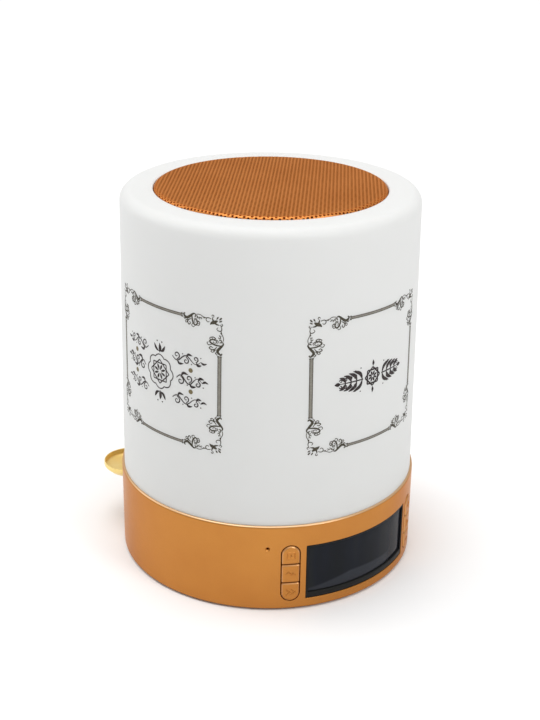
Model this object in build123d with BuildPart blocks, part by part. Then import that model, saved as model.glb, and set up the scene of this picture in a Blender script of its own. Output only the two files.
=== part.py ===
from build123d import *
from math import asin, cos, degrees, radians, sin, sqrt
import os

# A lamp clock with a speaker in its top. Millimetres; +Z up; the display faces -Y.
# The origin is the middle of the rubber pad's underside, which is what the clock stands on.
# Angles round the base are counted from the display, towards +X.

os.makedirs("parts", exist_ok=True)

# ---------------------------------------------------------------- driving dimensions

# Base
base_radius = 62.5
base_height = 37.7
base_wall = 2.5
deck_thickness = 2.5
seam_chamfer = 0.5
foot_round = 1.0
wire_hole_radius = 6.5

# Bottom cover and pad
pad_proud = 0.6
pad_radius = 42.0
pad_pocket_depth = 0.6
cover_thickness = 2.0
cover_recess = 0.4
post_radius = 3.6
post_margin = 3.3
post_angle = 30.0
cover_screw_reach = 7.8

# Shade
seam_ledge = 1.0
shade_draft = 1.5
shade_height = 119.3
shade_wall = 2.2
shade_edge_round = 4.6
shade_boss_radius = 3.0
shade_boss_height = 9.0
shade_boss_margin = 3.3
shade_boss_count = 3
shade_boss_turn = 75.0
shade_rib_width = 2.0

# Display window
window_width = 54.2
window_height = 24.3
window_rise = 4.0
window_corner = 0.5
bezel_side = 0.9
bezel_top = 0.8
bezel_bottom = 2.5
bezel_inset = 0.2
bezel_depth = 3.3
lens_inset = 0.9
lens_thickness = 1.4
lens_lip = 1.0
glass_margin = 4.6
glass_thickness = 1.8
holder_thickness = 3.0
display_board_thickness = 1.2

# Buttons, three in a pill at each side of the display
pill_margin = 2.48
pill_width = 7.8
pill_height = 25.4
pill_rise = 3.7
button_travel = 0.6
button_proud = 0.5
button_flange = 1.0
flange_lip = 0.5
flange_gap = 0.5
plunger_radius = 1.6
button_frame_thickness = 1.4
button_frame_width = 10.0
button_frame_rail = 1.2
switch_height = 1.6
switch_side = 6.0
switch_stem_height = 0.4

# Microphone
mic_margin = 5.32
mic_rise = 27.7
mic_hole_radius = 0.6
mic_radius = 2.0
mic_length = 3.0
boot_wall = 0.8

# Main board and what is on it
board_width = 52.0
board_front = -5.0
board_margin = 1.86
board_corner = 3.0
board_thickness = 1.6
standoff_height = 6.0
standoff_radius = 3.0
board_hole_inset = 4.0
processor_side = 10.0
processor_across = -6.0
processor_along = 24.0
memory_length = 6.0
memory_width = 5.0
memory_across = 10.0
memory_along = 30.0
flat_chip_height = 1.4
capacitor_radius = 3.2
capacitor_across = -17.0
capacitor_along = 12.0
coil_radius = 3.8
coil_across = 16.0
coil_along = 14.0
tall_part_height = 5.5
plug_length = 7.0
plug_width = 5.0
plug_height = 4.2
plug_spacing = 12.0
usb_width = 9.0
usb_height = 3.2
usb_depth = 7.3
usb_place = -1.0
usb_wall = 0.3
usb_margin = 1.45
usb_tongue_setback = 1.0
port_clearance = 0.4
card_width = 14.0
card_height = 1.9
card_depth = 15.0
card_back_wall = 1.0
card_place = 12.5
card_slit_width = 12.0
card_slit_height = 1.4
switch_place = -13.0
switch_body_width = 8.6
switch_body_height = 3.6
switch_body_depth = 3.8
knob_width = 2.2
knob_height = 1.6
knob_proud = 0.2
knob_travel = 2.0

# Battery
cell_radius = 9.2
cell_length = 65.0
cell_margin = 2.6
holder_wall = 1.2
holder_rise = 1.5
contact_side = 8.0

# Fragrance dish, which slides out through the base's wall
dish_angle = -144.4
dish_overhang = 0.9
dish_radius = 11.3
dish_rim_rise = 26.6
dish_wall = 0.8
dish_depth = 3.3
dish_rim_height = 1.9
dish_travel = 12.0
runner_length = 17.0
runner_width = 2.0
runner_height = 1.6
guide_wall = 1.6
guide_lip_width = 0.8
guide_lip_height = 1.0

# Light
reflector_margin = 0.5
reflector_thickness = 1.6
light_board_margin = 3.5
light_board_width = 18.0
light_board_thickness = 1.6
chip_side = 5.0
chip_height = 1.5
chip_count = 18
conduit_radius = 5.0
conduit_wall = 1.0
conduit_foot_radius = 9.0
conduit_foot_height = 1.6
lead_radius = 1.3

# Speaker
roof_width = 13.5
grille_thickness = 0.8
grille_proud = 0.8
grille_round = 1.6
cloth_thickness = 0.3
carrier_margin = 2.8
carrier_thickness = 2.4
carrier_post_height = 3.6
carrier_post_radius = 3.0
carrier_post_inset = 3.5
speaker_radius = 39.0
gasket_thickness = 0.8
flange_thickness = 1.2
basket_radius = 33.2
basket_depth = 18.0
basket_wall = 1.2
magnet_radius = 26.0
magnet_height = 10.0
washer_thickness = 3.0
yoke_thickness = 3.0
pole_radius = 8.0
coil_gap = 0.45
coil_wall = 0.6
basket_foot = 2.0
basket_lip = 0.8
speaker_screw_shift = 0.7
magnet_gap = 4.0
washer_inset = 2.0
cone_radius = 28.3
cone_depth = 12.2
cone_wall = 0.8
cone_rim = 1.5
cap_rise = 3.0
surround_radius = 30.2
surround_roll = 2.0
surround_skin = 0.4
spider_thickness = 0.4

# Screws
screw_radius = 1.3
screw_head_radius = 2.6
screw_head_height = 1.3
small_screw_radius = 1.0
small_head_radius = 1.9
small_head_height = 1.2
screw_play = 0.05
screw_pass = 0.4

# Clearances
fit_gap = 0.3
slip_gap = 0.1
moulding_gap = 0.2

# ---------------------------------------------------------------- levels and radii that follow

rim_level = pad_proud
seam_level = rim_level + base_height
deck_level = seam_level - deck_thickness
top_level = seam_level + shade_height
roof_level = top_level - shade_wall
cover_level = rim_level + cover_recess
floor_level = cover_level + cover_thickness
base_inner = base_radius - base_wall

window_middle = rim_level + window_rise + window_height / 2
pill_middle = rim_level + pill_rise + pill_height / 2
window_edge_angle = degrees(asin(window_width / 2 / base_radius))
pill_angle = window_edge_angle + degrees((pill_margin + pill_width / 2) / base_radius)
mic_angle = -pill_angle - degrees((pill_width / 2 + mic_margin) / base_radius)
dish_reach = base_radius + dish_overhang

shade_foot_radius = base_radius - seam_ledge
shade_top_radius = shade_foot_radius - shade_draft
shade_inner_foot = shade_foot_radius - shade_wall
shade_inner_top = shade_top_radius - shade_wall
shade_boss_ring = shade_inner_foot - shade_boss_margin - shade_boss_radius
grille_radius = shade_top_radius - roof_width
grille_hole = grille_radius + fit_gap
carrier_radius = shade_inner_top - carrier_margin
carrier_post_ring = carrier_radius - carrier_post_inset

carrier_level = roof_level - carrier_post_height
flange_level = carrier_level + gasket_thickness
speaker_face = flange_level + flange_thickness
grille_level = top_level + grille_proud


def wall_plane(angle, distance=0):
    """Plane square to the radius at an angle round the base; its X runs round, its Y runs up."""
    turn = radians(angle)
    outward = Vector(sin(turn), -cos(turn), 0)
    return Plane(origin=outward * distance, x_dir=(cos(turn), sin(turn), 0), z_dir=outward)


def keep(piece, name):
    """Label a finished piece and write it."""
    piece.part.label = name
    export_step(piece.part, f"parts/{name}.step")


def tube(inner, outer, low, high):
    """A plain ring about the Z axis."""
    with BuildPart() as ring:
        with BuildSketch(Plane.XY.offset(low)):
            Circle(outer)
            if inner > 0:
                Circle(inner, mode=Mode.SUBTRACT)
        extrude(amount=high - low)
    return ring


def curved_plate(inner, outer, width, height, corner, angle, middle):
    """A rounded rectangle, seen square on, cut from a tube about the Z axis."""
    with BuildPart() as plate:
        with BuildSketch(wall_plane(angle)):
            with Locations((0, middle)):
                RectangleRounded(width, height, corner)
        extrude(amount=outer + 1)
        with BuildSketch(Plane.XY.offset(middle - height)):
            Circle(outer)
            Circle(inner, mode=Mode.SUBTRACT)
        extrude(amount=2 * height, mode=Mode.INTERSECT)
    return plate.part


def screws(places, head_low, head_high, radius, head_radius, tip):
    """Alike screws along Z: a head between two levels and a shank that runs on to the tip."""
    shank_from = head_high if tip > head_high else head_low
    with BuildPart() as group:
        with BuildSketch(Plane.XY.offset(head_low)):
            with Locations(*places):
                Circle(head_radius)
        extrude(amount=head_high - head_low)
        with BuildSketch(Plane.XY.offset(shank_from)):
            with Locations(*places):
                Circle(radius)
        extrude(amount=tip - shank_from)
    return group


def grid(spacing_x, spacing_y, middle_y=0):
    """The four corners of a rectangle centred on X."""
    across = (-spacing_x / 2, spacing_x / 2)
    along = (middle_y - spacing_y / 2, middle_y + spacing_y / 2)
    return [(x, y) for x in across for y in along]


def circle_places(radius, count, start=0):
    """Even places on a circle about the Z axis."""
    turns = [radians(start + 360 * i / count) for i in range(count)]
    return [(radius * cos(turn), radius * sin(turn)) for turn in turns]


# ---------------------------------------------------------------- base housing

post_ring = base_inner - post_margin - post_radius
post_places = grid(
    2 * post_ring * cos(radians(post_angle)), 2 * post_ring * sin(radians(post_angle))
)
shade_screw_places = circle_places(shade_boss_ring, shade_boss_count, shade_boss_turn)
port_level = floor_level + standoff_height + board_thickness
dish_rim = rim_level + dish_rim_rise
dish_underside = dish_rim - dish_depth - dish_wall
slot_width = 2 * (dish_radius + fit_gap)
slot_low = dish_underside - fit_gap
slot_height = dish_rim + fit_gap - slot_low
knob_level = port_level + switch_body_height / 2

with BuildPart() as base_housing:
    with BuildSketch(Plane.XY.offset(rim_level)):
        Circle(base_radius)
    extrude(amount=base_height)
    outer_rims = base_housing.edges().filter_by(GeomType.CIRCLE).sort_by(Axis.Z)
    fillet(outer_rims[0], foot_round)
    outer_rims = base_housing.edges().filter_by(GeomType.CIRCLE).sort_by(Axis.Z)
    chamfer(outer_rims[-1], seam_chamfer)
    with BuildSketch(Plane.XY.offset(rim_level)):
        Circle(base_inner)
    extrude(amount=base_height - deck_thickness, mode=Mode.SUBTRACT)
    # posts that the bottom cover is screwed to
    with BuildSketch(Plane.XY.offset(floor_level)):
        with Locations(*post_places):
            Circle(post_radius)
    extrude(amount=deck_level - floor_level)
    with BuildSketch(Plane.XY.offset(floor_level)):
        with Locations(*post_places):
            Circle(screw_radius + screw_play)
    extrude(amount=deck_level - floor_level - deck_thickness, mode=Mode.SUBTRACT)
    # holes in the deck for the wires and for the shade's screws
    with BuildSketch(Plane.XY.offset(deck_level)):
        Circle(wire_hole_radius)
        with Locations(*shade_screw_places):
            Circle(screw_radius + screw_pass)
    extrude(amount=deck_thickness, mode=Mode.SUBTRACT)
    # display window
    with BuildSketch(wall_plane(0, base_inner / 2)):
        with Locations((0, window_middle)):
            RectangleRounded(window_width, window_height, window_corner)
    extrude(amount=base_radius, mode=Mode.SUBTRACT)
    # button pills
    for side in (-1, 1):
        with BuildSketch(wall_plane(side * pill_angle, base_inner - base_wall)):
            with Locations((0, pill_middle)):
                SlotOverall(pill_height, pill_width, rotation=90)
        extrude(amount=base_radius, mode=Mode.SUBTRACT)
    # microphone hole
    with BuildSketch(wall_plane(mic_angle, base_inner - base_wall)):
        with Locations((0, rim_level + mic_rise)):
            Circle(mic_hole_radius)
    extrude(amount=base_radius, mode=Mode.SUBTRACT)
    # rear ports: charging socket, memory card and power switch
    with BuildSketch(wall_plane(180, base_inner / 2)):
        with Locations((-usb_place, port_level + usb_height / 2)):
            SlotOverall(usb_width + 2 * port_clearance, usb_height + 2 * port_clearance)
        with Locations((-card_place, port_level + card_height / 2)):
            Rectangle(card_slit_width, card_slit_height)
        with Locations((-switch_place - knob_travel / 2, knob_level)):
            Rectangle(knob_width + knob_travel + 2 * fit_gap, knob_height + 2 * fit_gap)
    extrude(amount=base_radius, mode=Mode.SUBTRACT)
    # slot for the fragrance dish
    with BuildSketch(wall_plane(dish_angle, base_inner / 2)):
        with Locations((0, slot_low + slot_height / 2)):
            RectangleRounded(slot_width, slot_height, fit_gap)
    extrude(amount=base_radius, mode=Mode.SUBTRACT)
keep(base_housing, "base_housing")

# ---------------------------------------------------------------- bottom cover, pad and screws

board_radius = base_inner - board_margin
hole_across = board_width / 2 - board_hole_inset
hole_front = board_front + board_hole_inset
hole_back = sqrt((board_radius - board_hole_inset) ** 2 - hole_across ** 2)
board_holes = grid(2 * hole_across, hole_back - hole_front, (hole_back + hole_front) / 2)
board_level = floor_level + standoff_height

with BuildPart() as bottom_cover:
    with BuildSketch(Plane.XY.offset(cover_level)):
        Circle(base_inner - fit_gap)
    extrude(amount=cover_thickness)
    with BuildSketch(Plane.XY.offset(floor_level)):
        with Locations(*board_holes):
            Circle(standoff_radius)
    extrude(amount=standoff_height)
    with BuildSketch(Plane.XY.offset(floor_level)):
        with Locations(*board_holes):
            Circle(small_screw_radius + screw_play)
    extrude(amount=standoff_height, mode=Mode.SUBTRACT)
    with BuildSketch(Plane.XY.offset(cover_level)):
        Circle(pad_radius + moulding_gap)
    extrude(amount=pad_pocket_depth, mode=Mode.SUBTRACT)
    with BuildSketch(Plane.XY.offset(cover_level)):
        with Locations(*post_places):
            Circle(screw_radius + screw_pass)
    extrude(amount=cover_thickness, mode=Mode.SUBTRACT)
    with BuildSketch(Plane.XY.offset(cover_level)):
        with Locations(*post_places):
            Circle(screw_head_radius + screw_pass)
    extrude(amount=screw_head_height, mode=Mode.SUBTRACT)
keep(bottom_cover, "bottom_cover")

base_pad = tube(0, pad_radius, 0, cover_level + pad_pocket_depth)
keep(base_pad, "base_pad")

cover_screws = screws(
    post_places, cover_level, cover_level + screw_head_height, screw_radius, screw_head_radius,
    floor_level + cover_screw_reach,
)
keep(cover_screws, "cover_screws")

# ---------------------------------------------------------------- display

bezel_outer = base_radius - bezel_inset
lens_outer = base_radius - lens_inset
lens_inner = lens_outer - lens_thickness
bezel_width = window_width - 2 * slip_gap
bezel_height = window_height - 2 * slip_gap
opening_width = bezel_width - 2 * bezel_side
opening_height = bezel_height - bezel_top - bezel_bottom
opening_middle = window_middle + (bezel_bottom - bezel_top) / 2
glass_width = window_width - 2 * glass_margin

bezel_body = curved_plate(
    bezel_outer - bezel_depth, bezel_outer, bezel_width, bezel_height, window_corner, 0, window_middle
)
bezel_ears = curved_plate(
    bezel_outer - bezel_depth, base_inner - fit_gap, bezel_width - 2 * lens_lip,
    bezel_height + 2 * lens_lip, window_corner, 0, window_middle,
)
lens_pocket = curved_plate(
    lens_inner, base_radius + 1, opening_width, opening_height, window_corner, 0, opening_middle
)
sight_opening = curved_plate(
    base_inner / 2, base_radius, opening_width - 2 * lens_lip, opening_height - 2 * lens_lip,
    window_corner, 0, opening_middle,
)

with BuildPart() as lcd_bezel:
    add(bezel_body)
    add(bezel_ears)
    add(lens_pocket, mode=Mode.SUBTRACT)
    add(sight_opening, mode=Mode.SUBTRACT)
keep(lcd_bezel, "lcd_bezel")

with BuildPart() as lcd_lens:
    add(
        curved_plate(
            lens_inner + slip_gap / 2, lens_outer, opening_width - 2 * slip_gap,
            opening_height - 2 * slip_gap, window_corner, 0, opening_middle,
        )
    )
keep(lcd_lens, "lcd_lens")

# the flat glass stands as close behind the curved bezel as its corners allow
glass_front = sqrt((bezel_outer - bezel_depth) ** 2 - (glass_width / 2) ** 2) - fit_gap
glass_back = glass_front - glass_thickness
holder_back = glass_back - holder_thickness
holder_top = window_middle + window_height / 2

with BuildPart() as lcd_glass:
    with BuildSketch(wall_plane(0, glass_back)):
        with Locations((0, opening_middle)):
            Rectangle(glass_width, opening_height)
    extrude(amount=glass_thickness)
keep(lcd_glass, "lcd_glass")

with BuildPart() as lcd_holder:
    with BuildSketch(wall_plane(0, holder_back)):
        with Locations((0, (floor_level + holder_top) / 2)):
            Rectangle(glass_width, holder_top - floor_level)
    extrude(amount=holder_thickness)
keep(lcd_holder, "lcd_holder")

with BuildPart() as display_board:
    with BuildSketch(wall_plane(0, holder_back - display_board_thickness)):
        with Locations((0, (floor_level + holder_top) / 2)):
            Rectangle(glass_width, holder_top - floor_level)
    extrude(amount=display_board_thickness)
keep(display_board, "display_board")

# ---------------------------------------------------------------- buttons

cap_width = pill_width - 2 * fit_gap
cap_span = pill_height - 2 * fit_gap
button_pitch = (cap_span + fit_gap) / 3
cap_height = button_pitch - fit_gap
flange_face = base_inner - flange_gap
cap_root = flange_face - button_flange
frame_face = cap_root - button_travel - fit_gap
frame_back = frame_face - button_frame_thickness
plunger_tip = frame_back - fit_gap
switch_face = plunger_tip - button_travel - fit_gap
switch_board_face = switch_face - switch_height
button_levels = [pill_middle + (row - 1) * button_pitch for row in range(3)]
frame_low = floor_level + fit_gap


def button(angle, level):
    """One cap: a slice of the pill with a bent face, a flange behind the wall and a plunger."""
    with BuildPart() as cap:
        with BuildSketch(wall_plane(angle, cap_root)):
            with Locations((0, pill_middle)):
                SlotOverall(cap_span, cap_width, rotation=90)
            with Locations((0, level)):
                Rectangle(cap_width, cap_height, mode=Mode.INTERSECT)
        extrude(amount=base_radius)
        with BuildSketch():
            Circle(base_radius + button_proud)
        extrude(amount=seam_level, mode=Mode.INTERSECT)
        with BuildSketch(wall_plane(angle, cap_root)):
            with Locations((0, level)):
                Rectangle(cap_width + 2 * flange_lip, cap_height / 2)
        extrude(amount=button_flange)
        with BuildSketch(wall_plane(angle, plunger_tip)):
            with Locations((0, level)):
                Circle(plunger_radius)
        extrude(amount=cap_root - plunger_tip)
    return cap


def button_frame(angle):
    """The guide behind three caps: a plate with plunger holes, and rails to the switch board."""
    with BuildPart() as guide:
        with BuildSketch(wall_plane(angle, frame_back)):
            with Locations((0, (frame_low + deck_level) / 2)):
                Rectangle(button_frame_width, deck_level - frame_low)
            with Locations(*[(0, level) for level in button_levels]):
                Circle(plunger_radius + fit_gap, mode=Mode.SUBTRACT)
        extrude(amount=button_frame_thickness)
        with BuildSketch(wall_plane(angle, switch_board_face)):
            with Locations((0, (frame_low + deck_level) / 2)):
                Rectangle(button_frame_width, deck_level - frame_low)
                Rectangle(
                    button_frame_width - 2 * button_frame_rail, deck_level - frame_low,
                    mode=Mode.SUBTRACT,
                )
        extrude(amount=frame_back - switch_board_face)
    return guide


for side, angle in (("left", -pill_angle), ("right", pill_angle)):
    for row, level in zip(("bottom", "middle", "top"), button_levels):
        keep(button(angle, level), f"button_{side}_{row}")
    keep(button_frame(angle), f"button_frame_{side}")
    with BuildPart() as button_board:
        with BuildSketch(wall_plane(angle, switch_board_face - display_board_thickness)):
            with Locations((0, (frame_low + deck_level) / 2)):
                Rectangle(button_frame_width, deck_level - frame_low)
        extrude(amount=display_board_thickness)
    keep(button_board, f"button_board_{side}")

with BuildPart() as tact_switches:
    for angle in (-pill_angle, pill_angle):
        with BuildSketch(wall_plane(angle, switch_board_face)):
            with Locations(*[(0, level) for level in button_levels]):
                Rectangle(switch_side, switch_side)
        extrude(amount=switch_height - switch_stem_height)
        with BuildSketch(wall_plane(angle, switch_face - switch_stem_height)):
            with Locations(*[(0, level) for level in button_levels]):
                Circle(plunger_radius)
        extrude(amount=switch_stem_height)
keep(tact_switches, "tact_switches")

# ---------------------------------------------------------------- microphone

mic_level = rim_level + mic_rise
boot_radius = mic_radius + boot_wall
boot_front = sqrt(base_inner ** 2 - boot_radius ** 2) - fit_gap
mic_front = boot_front - boot_wall

with BuildPart() as mic_boot:
    with BuildSketch(wall_plane(mic_angle, mic_front - mic_length)):
        with Locations((0, mic_level)):
            Circle(boot_radius)
    extrude(amount=mic_length + boot_wall)
    with BuildSketch(wall_plane(mic_angle, mic_front - mic_length)):
        with Locations((0, mic_level)):
            Circle(mic_radius + slip_gap)
    extrude(amount=mic_length, mode=Mode.SUBTRACT)
    with BuildSketch(wall_plane(mic_angle, mic_front - mic_length)):
        with Locations((0, mic_level)):
            Circle(2 * mic_hole_radius)
    extrude(amount=mic_length + boot_wall, mode=Mode.SUBTRACT)
keep(mic_boot, "mic_boot")

with BuildPart() as microphone:
    with BuildSketch(wall_plane(mic_angle, mic_front - mic_length)):
        with Locations((0, mic_level)):
            Circle(mic_radius)
    extrude(amount=mic_length)
keep(microphone, "microphone")

# ---------------------------------------------------------------- main board

# the board's rear edge follows the base's wall
board_reach = board_radius - board_front
with BuildPart() as main_board:
    with BuildSketch(Plane.XY.offset(board_level)):
        with Locations((0, board_front + board_reach / 2)):
            RectangleRounded(board_width, board_reach, board_corner)
        Circle(board_radius, mode=Mode.INTERSECT)
        with Locations(*board_holes):
            Circle(small_screw_radius + screw_play, mode=Mode.SUBTRACT)
    extrude(amount=board_thickness)
keep(main_board, "main_board")

board_screws = screws(
    board_holes, port_level, port_level + small_head_height, small_screw_radius,
    small_head_radius, floor_level + fit_gap,
)
keep(board_screws, "board_screws")

# a processor, a memory chip, a storage capacitor, a coil and the plugs of the two leads
with BuildPart() as board_components:
    with BuildSketch(Plane.XY.offset(port_level)):
        with Locations((processor_across, processor_along)):
            Rectangle(processor_side, processor_side)
        with Locations((memory_across, memory_along)):
            Rectangle(memory_length, memory_width)
    extrude(amount=flat_chip_height)
    with BuildSketch(Plane.XY.offset(port_level)):
        with Locations((capacitor_across, capacitor_along)):
            Circle(capacitor_radius)
        with Locations((coil_across, coil_along)):
            Circle(coil_radius)
    extrude(amount=tall_part_height)
    with BuildSketch(Plane.XY.offset(port_level)):
        with Locations((0, 0), (plug_spacing, 0)):
            Rectangle(plug_length, plug_width)
    extrude(amount=plug_height)
keep(board_components, "board_components")

usb_face = sqrt(base_inner ** 2 - (abs(usb_place) + usb_width / 2) ** 2) - usb_margin
usb_back = usb_face - usb_depth
with BuildPart() as usb_socket:
    with BuildSketch(wall_plane(180, usb_back)):
        with Locations((-usb_place, port_level + usb_height / 2)):
            SlotOverall(usb_width, usb_height)
    extrude(amount=usb_depth)
    with BuildSketch(wall_plane(180, usb_back + usb_wall)):
        with Locations((-usb_place, port_level + usb_height / 2)):
            SlotOverall(usb_width - 2 * usb_wall, usb_height - 2 * usb_wall)
    extrude(amount=usb_depth, mode=Mode.SUBTRACT)
    with BuildSketch(wall_plane(180, usb_back)):
        with Locations((-usb_place, port_level + usb_height / 2)):
            Rectangle(usb_width - 8 * usb_wall, 2 * usb_wall)
    extrude(amount=usb_depth - usb_tongue_setback)
keep(usb_socket, "usb_socket")

card_face = sqrt(base_inner ** 2 - (card_place + card_width / 2) ** 2) - fit_gap
with BuildPart() as card_socket:
    with BuildSketch(wall_plane(180, card_face - card_depth)):
        with Locations((-card_place, port_level + card_height / 2)):
            Rectangle(card_width, card_height)
    extrude(amount=card_depth)
    with BuildSketch(wall_plane(180, card_face - card_depth + card_back_wall)):
        with Locations((-card_place, port_level + card_height / 2)):
            Rectangle(card_slit_width, card_slit_height - 2 * slip_gap)
    extrude(amount=card_depth, mode=Mode.SUBTRACT)
keep(card_socket, "card_socket")

switch_front = sqrt(base_inner ** 2 - (abs(switch_place) + switch_body_width / 2) ** 2) - fit_gap
knob_middle = -switch_place - knob_travel / 2
with BuildPart() as power_switch:
    with BuildSketch(wall_plane(180, switch_front - switch_body_depth)):
        with Locations((knob_middle, knob_level)):
            Rectangle(switch_body_width, switch_body_height)
    extrude(amount=switch_body_depth)
    with BuildSketch(wall_plane(180, switch_front - switch_body_depth / 2)):
        with Locations((knob_middle, knob_level)):
            Rectangle(knob_width + knob_travel + 2 * fit_gap, knob_height + 2 * fit_gap)
    extrude(amount=switch_body_depth, mode=Mode.SUBTRACT)
keep(power_switch, "power_switch")

knob_root = switch_front - switch_body_depth / 2 + fit_gap
with BuildPart() as power_slider:
    with BuildSketch(wall_plane(180, knob_root)):
        with Locations((-switch_place, knob_level)):
            Rectangle(knob_width, knob_height)
    extrude(amount=base_radius + knob_proud - knob_root)
keep(power_slider, "power_slider")

# ---------------------------------------------------------------- battery

cell_level = floor_level + holder_wall + slip_gap + cell_radius
holder_length = cell_length + 2 * (holder_wall + 2 * fit_gap)
holder_width = 2 * (cell_radius + holder_wall)
cell_place = board_front - cell_margin - holder_width / 2

with BuildPart() as battery_holder:
    with BuildSketch(Plane.XY.offset(floor_level)):
        with Locations((0, cell_place)):
            Rectangle(holder_length, holder_width)
    extrude(amount=cell_level + holder_rise - floor_level)
    with BuildSketch(Plane.YZ.offset(-holder_length / 2 + holder_wall)):
        with Locations((cell_place, cell_level)):
            Circle(cell_radius + slip_gap)
        with Locations((cell_place, cell_level + cell_radius / 2)):
            Rectangle(2 * (cell_radius + slip_gap), cell_radius)
    extrude(amount=holder_length - 2 * holder_wall, mode=Mode.SUBTRACT)
keep(battery_holder, "battery_holder")

with BuildPart() as battery_cell:
    with BuildSketch(Plane.YZ.offset(-cell_length / 2)):
        with Locations((cell_place, cell_level)):
            Circle(cell_radius)
    extrude(amount=cell_length)
keep(battery_cell, "battery_cell")

with BuildPart() as battery_contacts:
    for start in (-cell_length / 2 - 2 * fit_gap, cell_length / 2 + fit_gap):
        with BuildSketch(Plane.YZ.offset(start)):
            with Locations((cell_place, cell_level - contact_side / 4)):
                Rectangle(contact_side, contact_side)
        extrude(amount=fit_gap)
keep(battery_contacts, "battery_contacts")

# ---------------------------------------------------------------- fragrance dish and its guide

dish_plane = wall_plane(dish_angle, dish_reach)
dish_axis = Axis(dish_plane.origin, (0, 0, 1))
dish_belly = dish_depth + dish_wall - dish_rim_height
runner_level = dish_rim - dish_rim_height
guide_floor = dish_underside - fit_gap - guide_wall
guide_half = dish_radius + fit_gap + guide_wall
guide_start = dish_reach - runner_length - dish_travel - 2 * fit_gap
guide_reach = sqrt(base_inner ** 2 - guide_half ** 2) - fit_gap

with BuildPart() as scent_dish:
    # half of the bowl's section, turned about its own upright axis
    with BuildSketch(wall_plane(dish_angle, dish_reach)):
        with BuildLine():
            Polyline(
                (0, dish_underside),
                (dish_radius - dish_belly, dish_underside),
                (dish_radius, dish_rim - dish_rim_height),
                (dish_radius, dish_rim),
                (dish_radius - dish_wall, dish_rim),
                (dish_radius - dish_wall, dish_rim - dish_rim_height),
                (dish_radius - dish_wall - dish_belly + dish_wall / 2, dish_rim - dish_depth),
                (0, dish_rim - dish_depth),
                close=True,
            )
        make_face()
    revolve(axis=dish_axis)
    # runners that carry it in the guide
    for side in (-1, 1):
        with BuildSketch(Plane.XY.offset(runner_level)) as runner:
            with BuildLine():
                across = dish_plane.x_dir * side
                inward = dish_plane.z_dir * -1
                edge_out = dish_plane.origin + across * dish_radius
                edge_in = dish_plane.origin + across * (dish_radius - runner_width)
                Polyline(
                    (edge_out.X, edge_out.Y),
                    ((edge_out + inward * runner_length).X, (edge_out + inward * runner_length).Y),
                    ((edge_in + inward * runner_length).X, (edge_in + inward * runner_length).Y),
                    (edge_in.X, edge_in.Y),
                    close=True,
                )
            make_face()
        extrude(amount=runner_height)
keep(scent_dish, "scent_dish")

with BuildPart() as dish_guide:
    with BuildSketch(wall_plane(dish_angle, guide_start)):
        with Locations((0, (guide_floor + deck_level) / 2)):
            Rectangle(2 * guide_half, deck_level - guide_floor)
    extrude(amount=guide_reach - guide_start)
    with BuildSketch(wall_plane(dish_angle, guide_start)):
        with Locations((0, (guide_floor + guide_wall + deck_level) / 2)):
            Rectangle(2 * (dish_radius + fit_gap), deck_level - guide_floor - guide_wall)
    extrude(amount=guide_reach - guide_start, mode=Mode.SUBTRACT)
    # lips over the runners
    with BuildSketch(wall_plane(dish_angle, guide_start)):
        for side in (-1, 1):
            lip_across = side * (dish_radius + fit_gap - guide_lip_width / 2)
            with Locations((lip_across, dish_rim + fit_gap + guide_lip_height / 2)):
                Rectangle(guide_lip_width, guide_lip_height)
    extrude(amount=guide_reach - guide_start)
keep(dish_guide, "dish_guide")

# ---------------------------------------------------------------- shade

carrier_post_places = circle_places(carrier_post_ring, 4, 45)

with BuildPart() as shade:
    with BuildSketch(Plane.XZ) as shade_section:
        with BuildLine():
            Polyline(
                (shade_inner_foot, seam_level),
                (shade_foot_radius, seam_level),
                (shade_top_radius, top_level),
                (grille_hole, top_level),
                (grille_hole, roof_level),
                (shade_inner_top, roof_level),
                close=True,
            )
        make_face()
        outer_corner = shade_section.vertices().group_by(Axis.Y)[-1].sort_by(Axis.X)[-1]
        fillet(outer_corner, shade_edge_round)
        inner_corner = [v for v in shade_section.vertices() if abs(v.X - shade_inner_top) < 0.01]
        fillet(inner_corner, shade_edge_round - shade_wall)
    revolve(axis=Axis.Z)
    # bosses for the screws that come up through the base's deck, each with a rib to the wall
    with BuildSketch(Plane.XY.offset(seam_level)):
        for x, y in shade_screw_places:
            with Locations((x, y)):
                Circle(shade_boss_radius)
            turn = Vector(x, y, 0).normalized()
            far = turn * (shade_inner_foot + shade_wall / 4)
            with BuildLine():
                side = Vector(-turn.Y, turn.X, 0) * (shade_rib_width / 2)
                Polyline(
                    ((Vector(x, y, 0) + side).X, (Vector(x, y, 0) + side).Y),
                    ((far + side).X, (far + side).Y),
                    ((far - side).X, (far - side).Y),
                    ((Vector(x, y, 0) - side).X, (Vector(x, y, 0) - side).Y),
                    close=True,
                )
            make_face()
    extrude(amount=shade_boss_height)
    with BuildSketch(Plane.XY.offset(seam_level)):
        with Locations(*shade_screw_places):
            Circle(screw_radius + screw_play)
    extrude(amount=shade_boss_height - shade_wall, mode=Mode.SUBTRACT)
    # posts under the roof that the speaker carrier is screwed to
    with BuildSketch(Plane.XY.offset(carrier_level)):
        with Locations(*carrier_post_places):
            Circle(carrier_post_radius)
    extrude(amount=carrier_post_height)
    with BuildSketch(Plane.XY.offset(carrier_level)):
        with Locations(*carrier_post_places):
            Circle(screw_radius + screw_play)
    extrude(amount=carrier_post_height, mode=Mode.SUBTRACT)
keep(shade, "shade")

shade_screws = screws(
    shade_screw_places, deck_level - screw_head_height, deck_level, screw_radius,
    screw_head_radius, seam_level + shade_boss_height - 2 * shade_wall,
)
keep(shade_screws, "shade_screws")

# ---------------------------------------------------------------- light

light_level = seam_level + reflector_thickness
chip_level = light_level + light_board_thickness
reflector_radius = shade_boss_ring - shade_boss_radius - reflector_margin
light_board_outer = reflector_radius - light_board_margin
light_board_inner = light_board_outer - light_board_width
chip_ring = (light_board_inner + light_board_outer) / 2

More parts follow.
